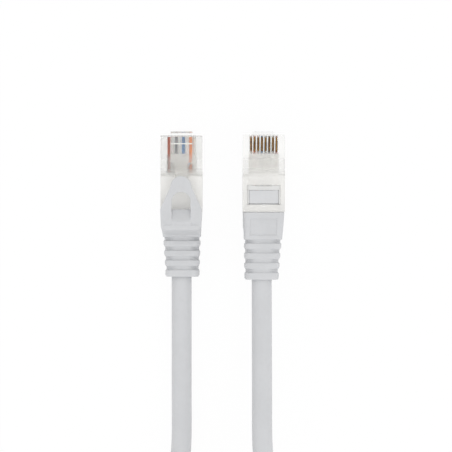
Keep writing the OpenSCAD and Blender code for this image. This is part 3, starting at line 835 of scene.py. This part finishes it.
@dataclass(frozen=True)
class Hank:
    """The cable's spare length, folded into a hank behind the plugs.

    Attributes:
        fold_r: The radius of the innermost folds.
        waist_r: The radius of the runs where they draw in to the waist.
        flare: The angle by which the runs close in, in degrees.
        turns: The number of turns between the two waists.
        layers: The number of layers of turns.
        layer_step: The height of one layer above the one below.
        join_x: The distance from the middle to where the cable joins the hank.
        middle_y: The middle of the hank along y.
        floor_z: The height of the lowest centre line.
        cord_d: The cable's diameter.
    """

    fold_r: float = 16.8
    waist_r: float = 22.4
    flare: float = 30.0
    turns: float = 3.5
    layers: int = 4
    layer_step: float = 6.2
    join_x: float = 22.6
    middle_y: float = -128.0
    floor_z: float = 3.8
    cord_d: float = 5.6

    @property
    def flare_l(self) -> float:
        """The length of one run from the waist to the fold."""
        return self.waist_r * math.radians(self.flare)

    @property
    def half_turn_l(self) -> float:
        """The length of half a turn, from waist to waist."""
        return 2 * self.flare_l + self.fold_r * math.radians(180 + 2 * self.flare)

    @property
    def waist_x(self) -> float:
        """Half the distance between the innermost runs at the waist."""
        return (self.fold_r + self.waist_r) * math.cos(math.radians(self.flare)) - self.waist_r

    @property
    def fold_y(self) -> float:
        """The distance from the middle to the centre of a fold."""
        return (self.fold_r + self.waist_r) * math.sin(math.radians(self.flare))

    @property
    def lead_in(self) -> float:
        """The share of a turn between where the cable joins and the first waist."""
        return (self.flare_l + self.fold_r * math.radians(self.flare)) / (2 * self.half_turn_l)

    @property
    def layer_turns(self) -> float:
        """The number of turns in one layer."""
        return (self.turns + 2 * self.lead_in) / self.layers

    @property
    def spread(self) -> float:
        """How far the turns spiral out from the innermost."""
        return self.join_x - self.fold_r

    @property
    def top_z(self) -> float:
        """The height of the highest centre line."""
        return self.floor_z + (self.layers - 1) * self.layer_step

    @property
    def join_y(self) -> float:
        """Where the cable joins the hank along y."""
        return self.middle_y + self.fold_y + self.cord_d

    def waist_arc(self, side: int, angle: float) -> tuple[float, float, float, float]:
        """Finds a point of a run.

        Args:
            side: Which of the two runs, 1 or -1.
            angle: The angle along the run from the waist, in radians.

        Returns:
            The point's x and y from the middle, and its outward direction.
        """
        return (
            side * (self.waist_x + self.waist_r - self.waist_r * math.cos(angle)),
            -self.waist_r * math.sin(angle), side * math.cos(angle), math.sin(angle),
        )

    def base(self, along: float) -> tuple[float, float, float, float]:
        """Finds a point of the innermost turn.

        Args:
            along: The length along the turn from the waist on the left.

        Returns:
            The point's x and y from the middle, and its outward direction.
        """
        half = math.floor(along / self.half_turn_l)
        rest = along - half * self.half_turn_l
        if rest < self.flare_l:
            point = self.waist_arc(-1, rest / self.waist_r)
        elif rest < self.half_turn_l - self.flare_l:
            angle = math.radians(180 - self.flare) + (rest - self.flare_l) / self.fold_r
            point = (
                self.fold_r * math.cos(angle), self.fold_r * math.sin(angle) - self.fold_y,
                math.cos(angle), math.sin(angle),
            )
        else:
            point = self.waist_arc(1, (self.half_turn_l - rest) / self.waist_r)
        return point if half % 2 == 0 else tuple(-value for value in point)

    def point(self, turn: float) -> Vector:
        """Returns the centre line's point after a number of turns."""
        x, y, out_x, out_y = self.base(turn * 2 * self.half_turn_l)
        wound = turn + self.lead_in
        out = self.spread * abs(1 - wound / self.layer_turns % 2)
        climbed = sum(smooth(2 * (wound - k * self.layer_turns) + 0.5) for k in range(1, self.layers))
        return Vector((x + out * out_x, self.middle_y + y + out * out_y,
                       self.floor_z + climbed * self.layer_step))

    def line(self, per_turn: int) -> list[Vector]:
        """Returns the hank's centre line, from the cable of plug A to the cable of plug B."""
        whole = self.turns + 2 * self.lead_in
        steps = round(whole * per_turn)
        return [
            Vector((-self.join_x, self.join_y, self.floor_z)),
            *(self.point(whole * i / steps - self.lead_in) for i in range(steps + 1)),
            Vector((self.join_x, self.join_y, self.top_z)),
        ]


@dataclass(frozen=True)
class PatchCord:
    """The cable between the two boots, one unbroken round jacket.

    Attributes:
        hank: The hank of its spare length.
        diameter: The diameter of the jacket.
        sides: The number of faces round the jacket.
        hidden_l: How far each end reaches into its boot.
        lean_b: How far the cable is off the middle of plug B where it leaves that boot.
    """

    hank: Hank
    diameter: float = 5.6
    sides: int = 28
    hidden_l: float = 1.2
    lean_b: float = 0.49

    def route(self) -> list[Vector]:
        """Returns the cable's centre line from boot A through the hank to boot B."""
        tail_a, tail_b = boot_exit(Lie.A), boot_exit(Lie.B)
        tail_b.x -= self.lean_b
        from_a = [
            tail_a, (-11.45, -31, 3.9), (-11.45, -42, 3.8), (-11.45, -53, 3.8), (-11.45, -64, 3.8),
            (-11.8, -70, 3.8), (-13.2, -76, 3.8), (-15.7, -82, 3.8), (-18.6, -88, 3.8), (-21, -94, 3.8),
            (-22.3, -99, 3.8),
        ]
        from_b = [
            tail_b, (10.97, -26, 8.5), (10.98, -31, 8.7), (10.98, -42, 9.8), (10.98, -53, 11.8),
            (10.98, -64, 14.4), (11.45, -70, 16), (13.1, -76, 17.7), (15.7, -82, 19.3),
            (18.6, -88, 20.7), (21, -94, 21.8), (22.3, -99, 22.3),
        ]
        wound = self.hank.line(per_turn=36)
        lead_a = flowing([*from_a, wound[0], wound[1]], 6)[:-7]
        lead_b = flowing([*from_b, wound[-1], wound[-2]], 6)[:-7]
        return [*lead_a, *wound, *reversed(lead_b)]

    def build(self, strap: bpy.types.Object) -> bpy.types.Object:
        """Args:
            strap: The strap that holds the hank; it is not used.

        Returns:
            The cable.
        """
        line = self.route()
        inside = (line[1] - line[0]).normalized() * self.hidden_l
        hidden_end = (line[-2] - line[-1]).normalized() * self.hidden_l
        mesh = bmesh.new()
        tube(mesh, [line[0] - inside, *line, line[-1] - hidden_end], self.diameter / 2, self.sides)
        cord = as_piece("patch_cord", mesh, Matrix.Scale(MM, 4), [JACKET_PVC])
        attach(cord, "cable")
        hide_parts("cable_run_a", "cable_run_b", "cable_hank")
        log.info("patch_cord: %.1f mm from boot to boot", length_of(line))
        return cord


@dataclass(frozen=True)
class HankStrap:
    """The woven strap round the hank's waist, closed on itself on top.

    Attributes:
        thickness: The strap's thickness.
        overlap: How far the free end laps over the strap.
        corner_r: The radius of the strap's middle round the turns.
        point_steps: The number of steps round a corner.
        end_r: The length over which the free end narrows to its round tip.
    """

    thickness: float = 0.72
    overlap: float = 17.0
    corner_r: float = 3.2
    point_steps: int = 8
    end_r: float = 4.0

    def path(self, half: float, low: float, high: float) -> list[tuple[Vector, Vector]]:
        """Draws the strap's way round the hank, seen along y.

        Args:
            half: Half the width of the loop at the middle of the strap.
            low: The height of the loop's lower run.
            high: The height of the loop's upper run.

        Returns:
            Points of the way and their outward directions, more than once round.
        """
        r = self.corner_r
        corners = ((half - r, high - r, 90), (half - r, low + r, 0),
                   (r - half, low + r, -90), (r - half, high - r, -180))
        start = -self.overlap / 2
        way = [(Vector((start + k * (half - r - start) / 12, 0, high)), Vector((0, 0, 1)))
               for k in range(12)]
        for x, z, first in corners:
            for step in range(self.point_steps + 1):
                angle = math.radians(first - 90 * step / self.point_steps)
                out = Vector((math.cos(angle), 0, math.sin(angle)))
                way.append((Vector((x, 0, z)) + r * out, out))
        lap_steps = 24
        for k in range(1, lap_steps + 1):
            x = (r - half) + k * (self.overlap / 2 - (r - half)) / lap_steps
            lift = self.thickness * 1.06 * smooth((x - start + 2.4) / 2.4)
            way.append((Vector((x, 0, high + lift)), Vector((0, 0, 1))))
        return way

    def build(self) -> bpy.types.Object:
        """Builds the strap and returns it."""
        low_corner, high_corner = (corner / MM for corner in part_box("tie"))
        middle = (low_corner + high_corner) / 2
        width = high_corner.y - low_corner.y
        inset = self.thickness / 2
        way = self.path(
            (high_corner.x - low_corner.x) / 2 - inset, low_corner.z + inset, high_corner.z - inset)
        mesh = bmesh.new()
        laid = mesh.loops.layers.uv.verify()
        whole = length_of([place for place, _ in way])
        rings, along = [], 0.0
        for i, (place, out) in enumerate(way):
            along += (place - way[i - 1][0]).length if i else 0.0
            left = whole - along
            narrow = math.sqrt(max(0.06, 1 - (1 - left / self.end_r) ** 2)) if left < self.end_r else 1.0
            half_w, half_t = width / 2 * narrow, self.thickness / 2
            edge = half_t * 0.6
            profile = (
                (-half_w, -half_t + edge), (-half_w + edge, -half_t), (half_w - edge, -half_t),
                (half_w, -half_t + edge), (half_w, half_t - edge), (half_w - edge, half_t),
                (-half_w + edge, half_t), (-half_w, half_t - edge),
            )
            rings.append((along, [
                (mesh.verts.new(place + Vector((middle.x, middle.y + y, 0)) + out * t), y)
                for y, t in profile
            ]))
        for (start, near), (end, far) in zip(rings, rings[1:]):
            for k in range(len(near)):
                corners = ((near[k - 1], start), (near[k], start), (far[k], end), (far[k - 1], end))
                face = mesh.faces.new([vert for (vert, _), _ in corners])
                for loop, ((_, y), s) in zip(face.loops, corners):
                    loop[laid].uv = (s, y)
        mesh.faces.new([vert for vert, _ in rings[0][1]][::-1])
        mesh.faces.new([vert for vert, _ in rings[-1][1]])
        strap = as_piece("hank_strap", mesh, Matrix.Scale(MM, 4), [STRAP])
        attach(strap, "cable")
        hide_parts("tie")
        log.info("hank_strap: %.1f mm of strap", whole)
        return strap


# ---------------------------------------------------------------- plugs


class Lie(Enum):
    """How each plug lies: A on its contact face, and B turned over onto its boot's hump."""

    A = "a"
    B = "b"

    def clear(self) -> ClearPlastic:
        """Returns the finish of the plug's housing, frosted on its contact side and behind, with painted
        light on the rear of A.
        """
        contact_z = (2.6, 1.6) if self is Lie.A else (9.9, 10.9)
        # Plug A's housing is frostier behind than B's: a paler rear that is painted light against the shade
        # of the guard over it.
        frosts = (0.05, 0.25, 0.94) if self is Lie.A else (0.05, 0.25, 0.7)
        return ClearPlastic(
            f"clear_housing_{self.value}", PLASTIC_TONE, frosts=frosts, step_half=1.5,
            contact_frost=0.3, contact_z=contact_z)


def plug_matrix(end: Lie) -> Matrix:
    """Returns the matrix from a plug's own frame in millimetres to the row frame in metres."""
    low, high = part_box(f"housing_{end.value}")
    middle = (low.x + high.x) / 2
    if end is Lie.A:
        return Matrix.Translation((middle, high.y, low.z)) @ Matrix.Scale(MM, 4)
    turned = Matrix.Translation((middle, high.y, high.z)) @ Matrix.Rotation(math.pi, 4, "Y")
    return turned @ Matrix.Scale(MM, 4)


def boot_exit(end: Lie) -> Vector:
    """Returns the point where the cable leaves a boot, in the row frame, in millimetres."""
    low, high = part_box(f"cable_end_{end.value}")
    return Vector(((low.x + high.x) / 2, low.y, (low.z + high.z) / 2)) / MM


@dataclass(frozen=True)
class Plug:
    """The clear plug body with its latch, bars and contacts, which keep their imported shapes.

    Attributes:
        end: Which plug it is.
        body_edge: The width of the rounded edges of the housing.
        bar_edge: The width of the rounded edges of the latch, the bars and the jacket.
        blade_edge: The width of the rounded edges of the contacts.
        latch_join: The distance under which the points of the latch's fine root are joined.
    """

    end: Lie
    body_edge: float = 0.08
    bar_edge: float = 0.1
    blade_edge: float = 0.06
    latch_join: float = 0.06

    def dress(self) -> None:
        """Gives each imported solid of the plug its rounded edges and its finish."""
        name = self.end.value
        finishes = {
            f"housing_{name}": self.end.clear(), f"latch_{name}": CLEAR_LATCH,
            f"load_bar_{name}": MILKY_BAR, f"strain_bar_{name}": SHADED_MILKY_BAR,
            f"cable_end_{name}": JACKET_PVC, **{f"contact_{name}{n}": GOLD for n in range(1, 9)},
        }
        for node, finish in finishes.items():
            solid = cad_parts[node]
            if node.startswith("housing"):
                soften_edges(solid, self.body_edge, keep_apart=False)
            elif node.startswith("latch"):
                soften_edges(solid, self.bar_edge, join=self.latch_join)
            else:
                soften_edges(solid, self.blade_edge if finish is GOLD else self.bar_edge)
            for place in solid.material_slots:
                place.material = finish.material()
        log.info("plug %s: %d packed solids dressed", name, len(finishes))


@dataclass(frozen=True)
class Wires:
    """The eight wires of one plug, fanned out from the jacket to the contacts.

    Attributes:
        end: Which plug they are in.
        diameter: The diameter over the insulation.
        core_d: The diameter of the copper core.
        core_l: How far the bare core reaches out of the insulation.
        pitch: The distance between neighbouring contacts.
        row_z: The height of the row of wires at the contacts.
        spread_l: The length over which the wires part into two rows.
        pair_pitch: The distance between pairs inside the jacket.
        pair_row: The distance between the two rows inside the jacket.
        cord_z: The height of the cable's middle above the contact face.
    """

    end: Lie
    diameter: float = 0.86
    core_d: float = 0.5
    core_l: float = 0.04
    pitch: float = 1.016
    row_z: float = 3.0
    spread_l: float = 1.2
    pair_pitch: float = 1.08
    pair_row: float = 1.0
    cord_z: float = 4.0

    def line(self, n: int, start_u: float, fan_u: float, jacket_u: float, tail_u: float) -> list[Vector]:
        """Draws the centre line of one wire, by places behind the front face.

        Args:
            n: The wire's number, 1 to 8.
            start_u: Where the wire ends.
            fan_u: Where it leaves the load bar.
            jacket_u: Where the jacket begins.
            tail_u: Where the boot ends.

        Returns:
            The points of the line, in the plug's own frame.
        """
        x = (4.5 - n) * self.pitch
        pair_x = (1.5 - (n - 1) // 2) * self.pair_pitch
        pair_z = self.cord_z + (self.pair_row if n % 2 else -self.pair_row) / 2
        knots = [
            (x, -start_u, self.row_z), (x, -(start_u + fan_u) / 2, self.row_z),
            (x, 0.8 - fan_u, self.row_z), (x, -fan_u, self.row_z), (x, -fan_u - self.spread_l, pair_z),
            (pair_x, -jacket_u, pair_z), (pair_x, -jacket_u - 1.5, pair_z), (pair_x, -tail_u, pair_z),
        ]
        return flowing(knots, 6)

    def build(self) -> None:
        """Builds the eight wires with their copper ends."""
        name, place = self.end.value, plug_matrix(self.end)
        face_y = place.translation.y / MM
        fan_u = face_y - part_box(f"load_bar_{name}")[0].y / MM
        jacket_u = face_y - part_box(f"cable_end_{name}")[1].y / MM
        for n, colour in enumerate(WireColour, start=1):
            node = f"wire_{name}{n}"
            low, high = (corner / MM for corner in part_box(node))
            line = self.line(n, face_y - high.y, fan_u, jacket_u, face_y - low.y)
            mesh = bmesh.new()
            tube(mesh, line, self.diameter / 2, 14, finish=0)
            core = [line[0] + Vector((0, self.core_l - 0.9 * k, 0)) for k in range(3)]
            tube(mesh, core, self.core_d / 2, 10, finish=1)
            wire = as_piece(f"insulated_{node}", mesh, place, [colour.value, COPPER])
            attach(wire, "cable")
            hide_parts(node)
        log.info("wires %s: eight wires", name)


@dataclass(frozen=True)
class Boot:
    """The grey boot moulded over the cable, with the guard that arches over the latch.

    Attributes:
        end: Which plug it is on.
        front_u, front_w: Where the boot begins, and its width there.
        shelf_z, shelf_end_z, seat_u: The shelf's height in front and behind, and where it ends.
        hump_u, hump_end_u, hump_z: Where the hump begins and ends, and its height.
        slope_u: Where the slope behind the hump ends.
        tail_z, tail_w, flange_w: The tail's height, and its width in front and at the end flange.
        edge_r: The radius of the body's long edges.
        grooves, groove_w, groove_pitch: How many grooves there are, their width and their spacing.
        flange_l: The length of the end flange.
        groove_depth, groove_side: How deep a groove is above and below, and at the sides.
        core_r, rib_r, rib_z: The corner radius in the grooves and of the ribs, and the ribs' underside.
        guard_low, guard_high: The heights of the guard's two sides.
        guard_u, guard_r, guard_full_u: Where its nose begins, its radius, and where it is at full width.
        guard_w, guard_end_w: The guard's full width, and its width at the hump.
        window_w, window_u: The width of the guard's window, and where it begins.
        ramp_u, ramp_z, ramp_top_u: Where the ramp begins, its height there, and where it is at the top.
        panel_w, panel_u, panel_l, panel_depth: The recessed panel's width, place, length and depth.
        block_w, block_u, block_l, block_z: The same for the block in the plug's window, with its underside.
        tongue_w, tongue_low, tongue_high: The width and the heights of the tongue round the jacket.
        bend_levels: Where a bend of the guard would begin and end, along the way across it; not used.
        lean_a, lean_b: How far the tail leans to the side on each plug.
        cell: The size of the cells that the moulding is melted together from.
        melt_passes: How often the melted skin is smoothed.
    """

    end: Lie
    front_u: float = 21.52
    front_w: float = 11.5
    shelf_z: float = 10.0
    shelf_end_z: float = 10.7
    seat_u: float = 24.3
    hump_u: float = 25.2
    hump_end_u: float = 26.2
    hump_z: float = 12.5
    slope_u: float = 28.1
    tail_z: float = 7.8
    tail_w: float = 10.6
    flange_w: float = 9.5
    edge_r: float = 1.3
    grooves: int = 4
    groove_w: float = 1.05
    groove_pitch: float = 2.72
    flange_l: float = 1.85
    groove_depth: float = 0.48
    groove_side: float = 0.25
    core_r: float = 3.2
    rib_r: float = 1.9
    rib_z: float = 0.1
    guard_low: float = 11.05
    guard_high: float = 12.2
    guard_u: float = 11.5
    guard_r: float = 2.9
    guard_full_u: float = 20.7
    guard_w: float = 11.54
    guard_end_w: float = 11.2
    window_w: float = 5.24
    window_u: float = 15.9
    ramp_u: float = 20.7
    ramp_z: float = 10.6
    ramp_top_u: float = 24.2
    panel_w: float = 7.5
    panel_u: float = 23.3
    panel_l: float = 4.6
    panel_depth: float = 0.26
    block_w: float = 8.1
    block_u: float = 15.45
    block_l: float = 3.67
    block_z: float = 0.3
    tongue_w: float = 8.2
    tongue_low: float = 0.85
    tongue_high: float = 7.15
    bend_levels: tuple[float, float] = (-5.6, -4.2)
    lean_a: float = 0.25
    lean_b: float = 0.55
    cell: float = 0.12
    melt_passes: int = 1

    @property
    def tail_u(self) -> float:
        """The end of the boot behind the front face."""
        face_y = plug_matrix(self.end).translation.y / MM
        return face_y - boot_exit(self.end).y

    @property
    def groove_u(self) -> float:
        """The start of the first groove behind the front face."""
        run = self.groove_w + (self.grooves - 1) * self.groove_pitch + self.flange_l
        return self.tail_u - run

    def body_width(self, u: float) -> float:
        """Returns the boot's width at a place behind the front face."""
        share = (u - self.front_u) / (self.groove_u - self.front_u)
        return self.front_w + (self.tail_w - self.front_w) * share

    def add_body(self, mesh: bmesh.types.BMesh) -> None:
        """Adds the boot's body, with the shelf under the guard and the hump."""
        tops = [(self.front_u, self.shelf_z), (self.seat_u, self.shelf_end_z), (self.hump_u, self.hump_z),
                (self.hump_end_u, self.hump_z)]
        slope_steps = 8
        for k in range(1, slope_steps + 1):
            share = k / slope_steps
            tops.append((self.hump_end_u + (self.slope_u - self.hump_end_u) * share,
                         self.hump_z + (self.tail_z - self.hump_z) * smooth(share)))
        tops += [(self.groove_u - 0.4, self.tail_z), (self.groove_u, self.tail_z - 0.3)]
        loft(mesh, [
            rounded_ring(u, self.body_width(u), 0, top, self.edge_r, self.edge_r) for u, top in tops
        ])

    def add_guard(self, mesh: bmesh.types.BMesh) -> None:
        """Adds the guard, a plate with a round nose and a window, open to the ramp behind."""
        nose_steps, window_steps = 20, 20
        end_u = self.hump_end_u - 0.3
        half, inner = self.guard_w / 2, self.window_w / 2
        centre_u = self.guard_u + self.guard_r
        outline = [(self.guard_end_w / 2, end_u), (half, self.guard_full_u)]
        for k in range(nose_steps + 1):
            angle = math.pi * k / nose_steps
            outline.append((self.guard_r * math.cos(angle), centre_u - self.guard_r * math.sin(angle)))
        outline += [(-half, self.guard_full_u), (-self.guard_end_w / 2, end_u), (-inner, end_u)]
        arch_u = self.window_u + inner
        for k in range(window_steps + 1):
            angle = math.pi * k / window_steps
            outline.append((-inner * math.cos(angle), arch_u - inner * math.sin(angle)))
        outline.append((inner, end_u))
        points = [(x, -u, self.guard_low) for x, u in outline]
        slab(mesh, points, (0, 0, self.guard_high - self.guard_low))

    def add_ramp(self, mesh: bmesh.types.BMesh) -> None:
        """Adds the ramp between the guard's arms."""
        half = self.window_w / 2
        side = [(self.ramp_u, 8.05), (self.ramp_u, self.ramp_z), (self.ramp_top_u, self.hump_z - 0.1),
                (self.hump_end_u, self.hump_z - 0.1), (self.hump_end_u, 8.05)]
        slab(mesh, [(-half, -u, z) for u, z in side], (2 * half, 0, 0))

    def add_tail(self, mesh: bmesh.types.BMesh) -> None:
        """Adds the core in each groove and the rib behind it."""
        for k in range(1, self.grooves + 1):
            last = k == self.grooves
            start = self.groove_u + self.groove_w + (k - 1) * self.groove_pitch
            end = self.tail_u + 0.04 if last else self.groove_u + k * self.groove_pitch
            width = self.tail_w + (self.flange_w - self.tail_w) * k / self.grooves
            loft(mesh, [
                rounded_ring(u, width - 2 * self.groove_side, self.groove_depth,
                             self.tail_z - self.groove_depth, self.core_r, self.core_r, 12)
                for u in (start - self.groove_w - 0.6, start + 0.4)
            ])
            back, inset = (0.45, 0.3) if last else (0.6, 0.3)
            shape = ((start, 0.04), (start + 0.06, 0.0), (end - back, 0.0), (end, inset))
            loft(mesh, [
                rounded_ring(u, width - 2 * cut, self.rib_z + cut, self.tail_z - cut, self.rib_r,
                             self.rib_r, 10)
                for u, cut in shape
            ])

    def melted(self, mesh: bmesh.types.BMesh) -> bmesh.types.BMesh:
        """Melts overlapping closed skins into one moulding with soft edges.

        Args:
            mesh: The skins, which are used up.

        Returns:
            The mesh of the moulding.
        """
        bmesh.ops.recalc_face_normals(mesh, faces=mesh.faces)
        rough = bpy.data.meshes.new("rough")
        mesh.to_mesh(rough)
        mesh.free()
        holder = bpy.data.objects.new("rough", rough)
        bpy.context.scene.collection.objects.link(holder)
        cells = holder.modifiers.new("melt", "REMESH")
        cells.mode = "VOXEL"
        cells.voxel_size = self.cell
        melted = bmesh.new()
        graph = bpy.context.evaluated_depsgraph_get()
        melted.from_object(holder, graph)
        bpy.data.objects.remove(holder)
        bpy.data.meshes.remove(rough)
        for _ in range(self.melt_passes):
            bmesh.ops.smooth_vert(
                melted, verts=melted.verts, factor=0.5, use_axis_x=True, use_axis_y=True, use_axis_z=True)
        return melted

    def lean(self, mesh: bmesh.types.BMesh) -> None:
        """Leans the soft tail to the side that the cable pulls it to."""
        reach = self.lean_a if self.end is Lie.A else self.lean_b
        tail_l = self.tail_u - self.front_u
        for vert in mesh.verts:
            vert.co.x += reach * smooth((-vert.co.y - self.front_u) / tail_l)

    def press_panel(self, mesh: bmesh.types.BMesh) -> None:
        """Presses the recessed panel into the contact side."""
        edge = 0.1
        for vert in mesh.verts:
            if vert.co.z > 1 or not self.panel_u - 1 < -vert.co.y < self.panel_u + self.panel_l + 1:
                continue
            inside = min(
                self.panel_w / 2 - abs(vert.co.x), -vert.co.y - self.panel_u,
                self.panel_u + self.panel_l + vert.co.y,
            )
            vert.co.z += self.panel_depth * smooth(inside / edge + 0.5)

    def build(self) -> None:
        """Builds the boot and its tongue inside the plug."""
        name = self.end.value
        mesh = bmesh.new()
        for add in (self.add_body, self.add_guard, self.add_ramp, self.add_tail):
            add(mesh)
        mesh = self.melted(mesh)
        self.press_panel(mesh)
        self.lean(mesh)
        shell = as_piece(f"boot_shell_{name}", mesh, plug_matrix(self.end), [BOOT_PVC])
        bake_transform(shell)
        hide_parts(f"boot_{name}", f"boot_guard_{name}")
        self.build_tongue()
        log.info("boot %s: %d faces", name, len(shell.data.polygons))

    def build_tongue(self) -> None:
        """Builds the tongue round the jacket and its block, which shows in the plug's window."""
        mesh = bmesh.new()
        tongue_end = self.front_u + 0.8
        loft(mesh, [
            rounded_ring(
                u, self.tongue_w - cut, self.tongue_low + cut / 2, self.tongue_high - cut / 2, 0.5, 0.5)
            for u, cut in ((self.block_u, 0.3), (self.block_u + 0.15, 0), (tongue_end, 0))
        ])
        end_u = self.block_u + self.block_l
        loft(mesh, [
            rounded_ring(u, self.block_w - cut, self.block_z + cut / 2, 4, 0.12, 0.3)
            for u, cut in ((self.block_u, 0.16), (self.block_u + 0.08, 0), (end_u - 0.08, 0), (end_u, 0.16))
        ])
        tongue = as_piece(f"boot_tongue_{self.end.value}", mesh, plug_matrix(self.end), [BOOT_PVC])
        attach(tongue, "cable")
        tongue.modifiers.new("even_shading", "WEIGHTED_NORMAL")


# ---------------------------------------------------------------- studio


@dataclass(frozen=True)
class Studio:
    """The camera, the light and the white floor.

    Attributes:
        view_w: The width that the picture shows at the height of the plugs.
        middle: The point of the floor in the middle of the picture.
        plug_z: The mean height of the plugs.
        distance: The camera's distance above that height.
        sensor: The width of the camera's sensor.
        sky: The strength of the even light from all sides.
        lamp_size: The width of the soft lamp, in metres.
        lamp_energy: The power of the soft lamp, in watts.
        lamp_at: Where the soft lamp hangs, in metres.
    """

    view_w: float = PICTURE_PX / 3.6
    middle: tuple[float, float] = (1.0, -5.8)
    plug_z: float = 10.0
    distance: float = 550.0
    sensor: float = 36.0
    sky: float = 0.96
    lamp_size: float = 0.5
    lamp_energy: float = 0.7
    lamp_at: tuple[float, float, float] = (0.18, -0.5, 0.55)

    def place_camera(self) -> None:
        """Places the camera straight above, with the plugs pointing up in the picture."""
        data = bpy.data.cameras.new("camera")
        data.sensor_width = self.sensor
        data.lens = self.sensor * self.distance / self.view_w
        data.clip_start, data.clip_end = 0.01, 50
        camera = bpy.data.objects.new("camera", data)
        camera.location = Vector((*self.middle, self.plug_z + self.distance)) * MM
        bpy.context.scene.collection.objects.link(camera)
        bpy.context.scene.camera = camera

    def light(self) -> None:
        """Lights the object with an even sky and one large soft lamp from behind the plugs."""
        world = bpy.data.worlds.new("sky")
        bpy.context.scene.world = world
        world.use_nodes = True
        world.node_tree.nodes.clear()
        nodes = Nodes(world.node_tree)
        rays = nodes.add("LightPath")
        seen = nodes.maths("MAXIMUM", rays.outputs["Is Camera Ray"], rays.outputs["Is Transmission Ray"])
        even = nodes.add("Background", {"Color": (1.0, 1.0, 1.0), "Strength": self.sky}).outputs[0]
        white = nodes.add("Background", {"Color": (1.0, 1.0, 1.0), "Strength": 1.0}).outputs[0]
        mixed = nodes.add("MixShader", {0: seen, 1: even, 2: white})
        nodes.add("OutputWorld", {"Surface": mixed.outputs[0]})
        lamp = bpy.data.lights.new("soft_lamp", "AREA")
        lamp.shape = "DISK"
        lamp.size = self.lamp_size
        lamp.energy = self.lamp_energy
        soft = bpy.data.objects.new("soft_lamp", lamp)
        soft.location = self.lamp_at
        soft.rotation_euler = (-soft.location).to_track_quat("-Z", "Y").to_euler()
        bpy.context.scene.collection.objects.link(soft)

    def lay_floor(self) -> None:
        """Lays the white floor, which shows white and keeps a faint shadow of the object."""
        half, below = 3000.0, -0.02
        mesh = bmesh.new()
        corners = ((-half, -half), (half, -half), (half, half), (-half, half))
        mesh.faces.new([mesh.verts.new((x, y, below)) for x, y in corners])
        floor = as_piece("floor", mesh, Matrix.Scale(MM, 4), [WHITE_FLOOR])


@dataclass(frozen=True)
class WhiteFloor(Finish):
    """A white floor that a camera, glass and metal see as white.

    Attributes:
        shadow: The share of the real shadow that they see.
    """

    shadow: float = 0.05

    def surface(self, nodes: Nodes) -> tuple[Socket, Socket | None]:
        """Builds the matt floor, and the white that shows over most of it."""
        matt = nodes.add("BsdfDiffuse", {"Color": (0.9, 0.9, 0.9)}).outputs[0]
        bright = nodes.add("BsdfDiffuse", {"Color": (1.0, 1.0, 1.0)}).outputs[0]
        white = nodes.add("Emission", {"Color": (1.0, 1.0, 1.0), "Strength": 1.0}).outputs[0]
        shown = nodes.add("MixShader", {0: self.shadow, 1: white, 2: bright}).outputs[0]
        rays = nodes.add("LightPath")
        seen = nodes.maths("MAXIMUM", rays.outputs["Is Camera Ray"], rays.outputs["Is Glossy Ray"])
        seen = nodes.maths("MAXIMUM", seen, rays.outputs["Is Transmission Ray"])
        return nodes.add("MixShader", {0: seen, 1: matt, 2: shown}).outputs[0], None


WHITE_FLOOR = WhiteFloor("white_floor")


def main() -> None:
    """Builds the studio, the cable and both of its ends."""
    logging.basicConfig(level=logging.INFO, format="%(name)s: %(message)s")
    bpy.context.scene.view_settings.view_transform = "Standard"
    studio = Studio()
    studio.place_camera()
    PatchCord(Hank()).build(HankStrap().build())
    for end in Lie:
        Plug(end).dress()
        Wires(end).build()
        Boot(end).build()
    studio.light()
    studio.lay_floor()


if __name__ == "__main__":
    main()
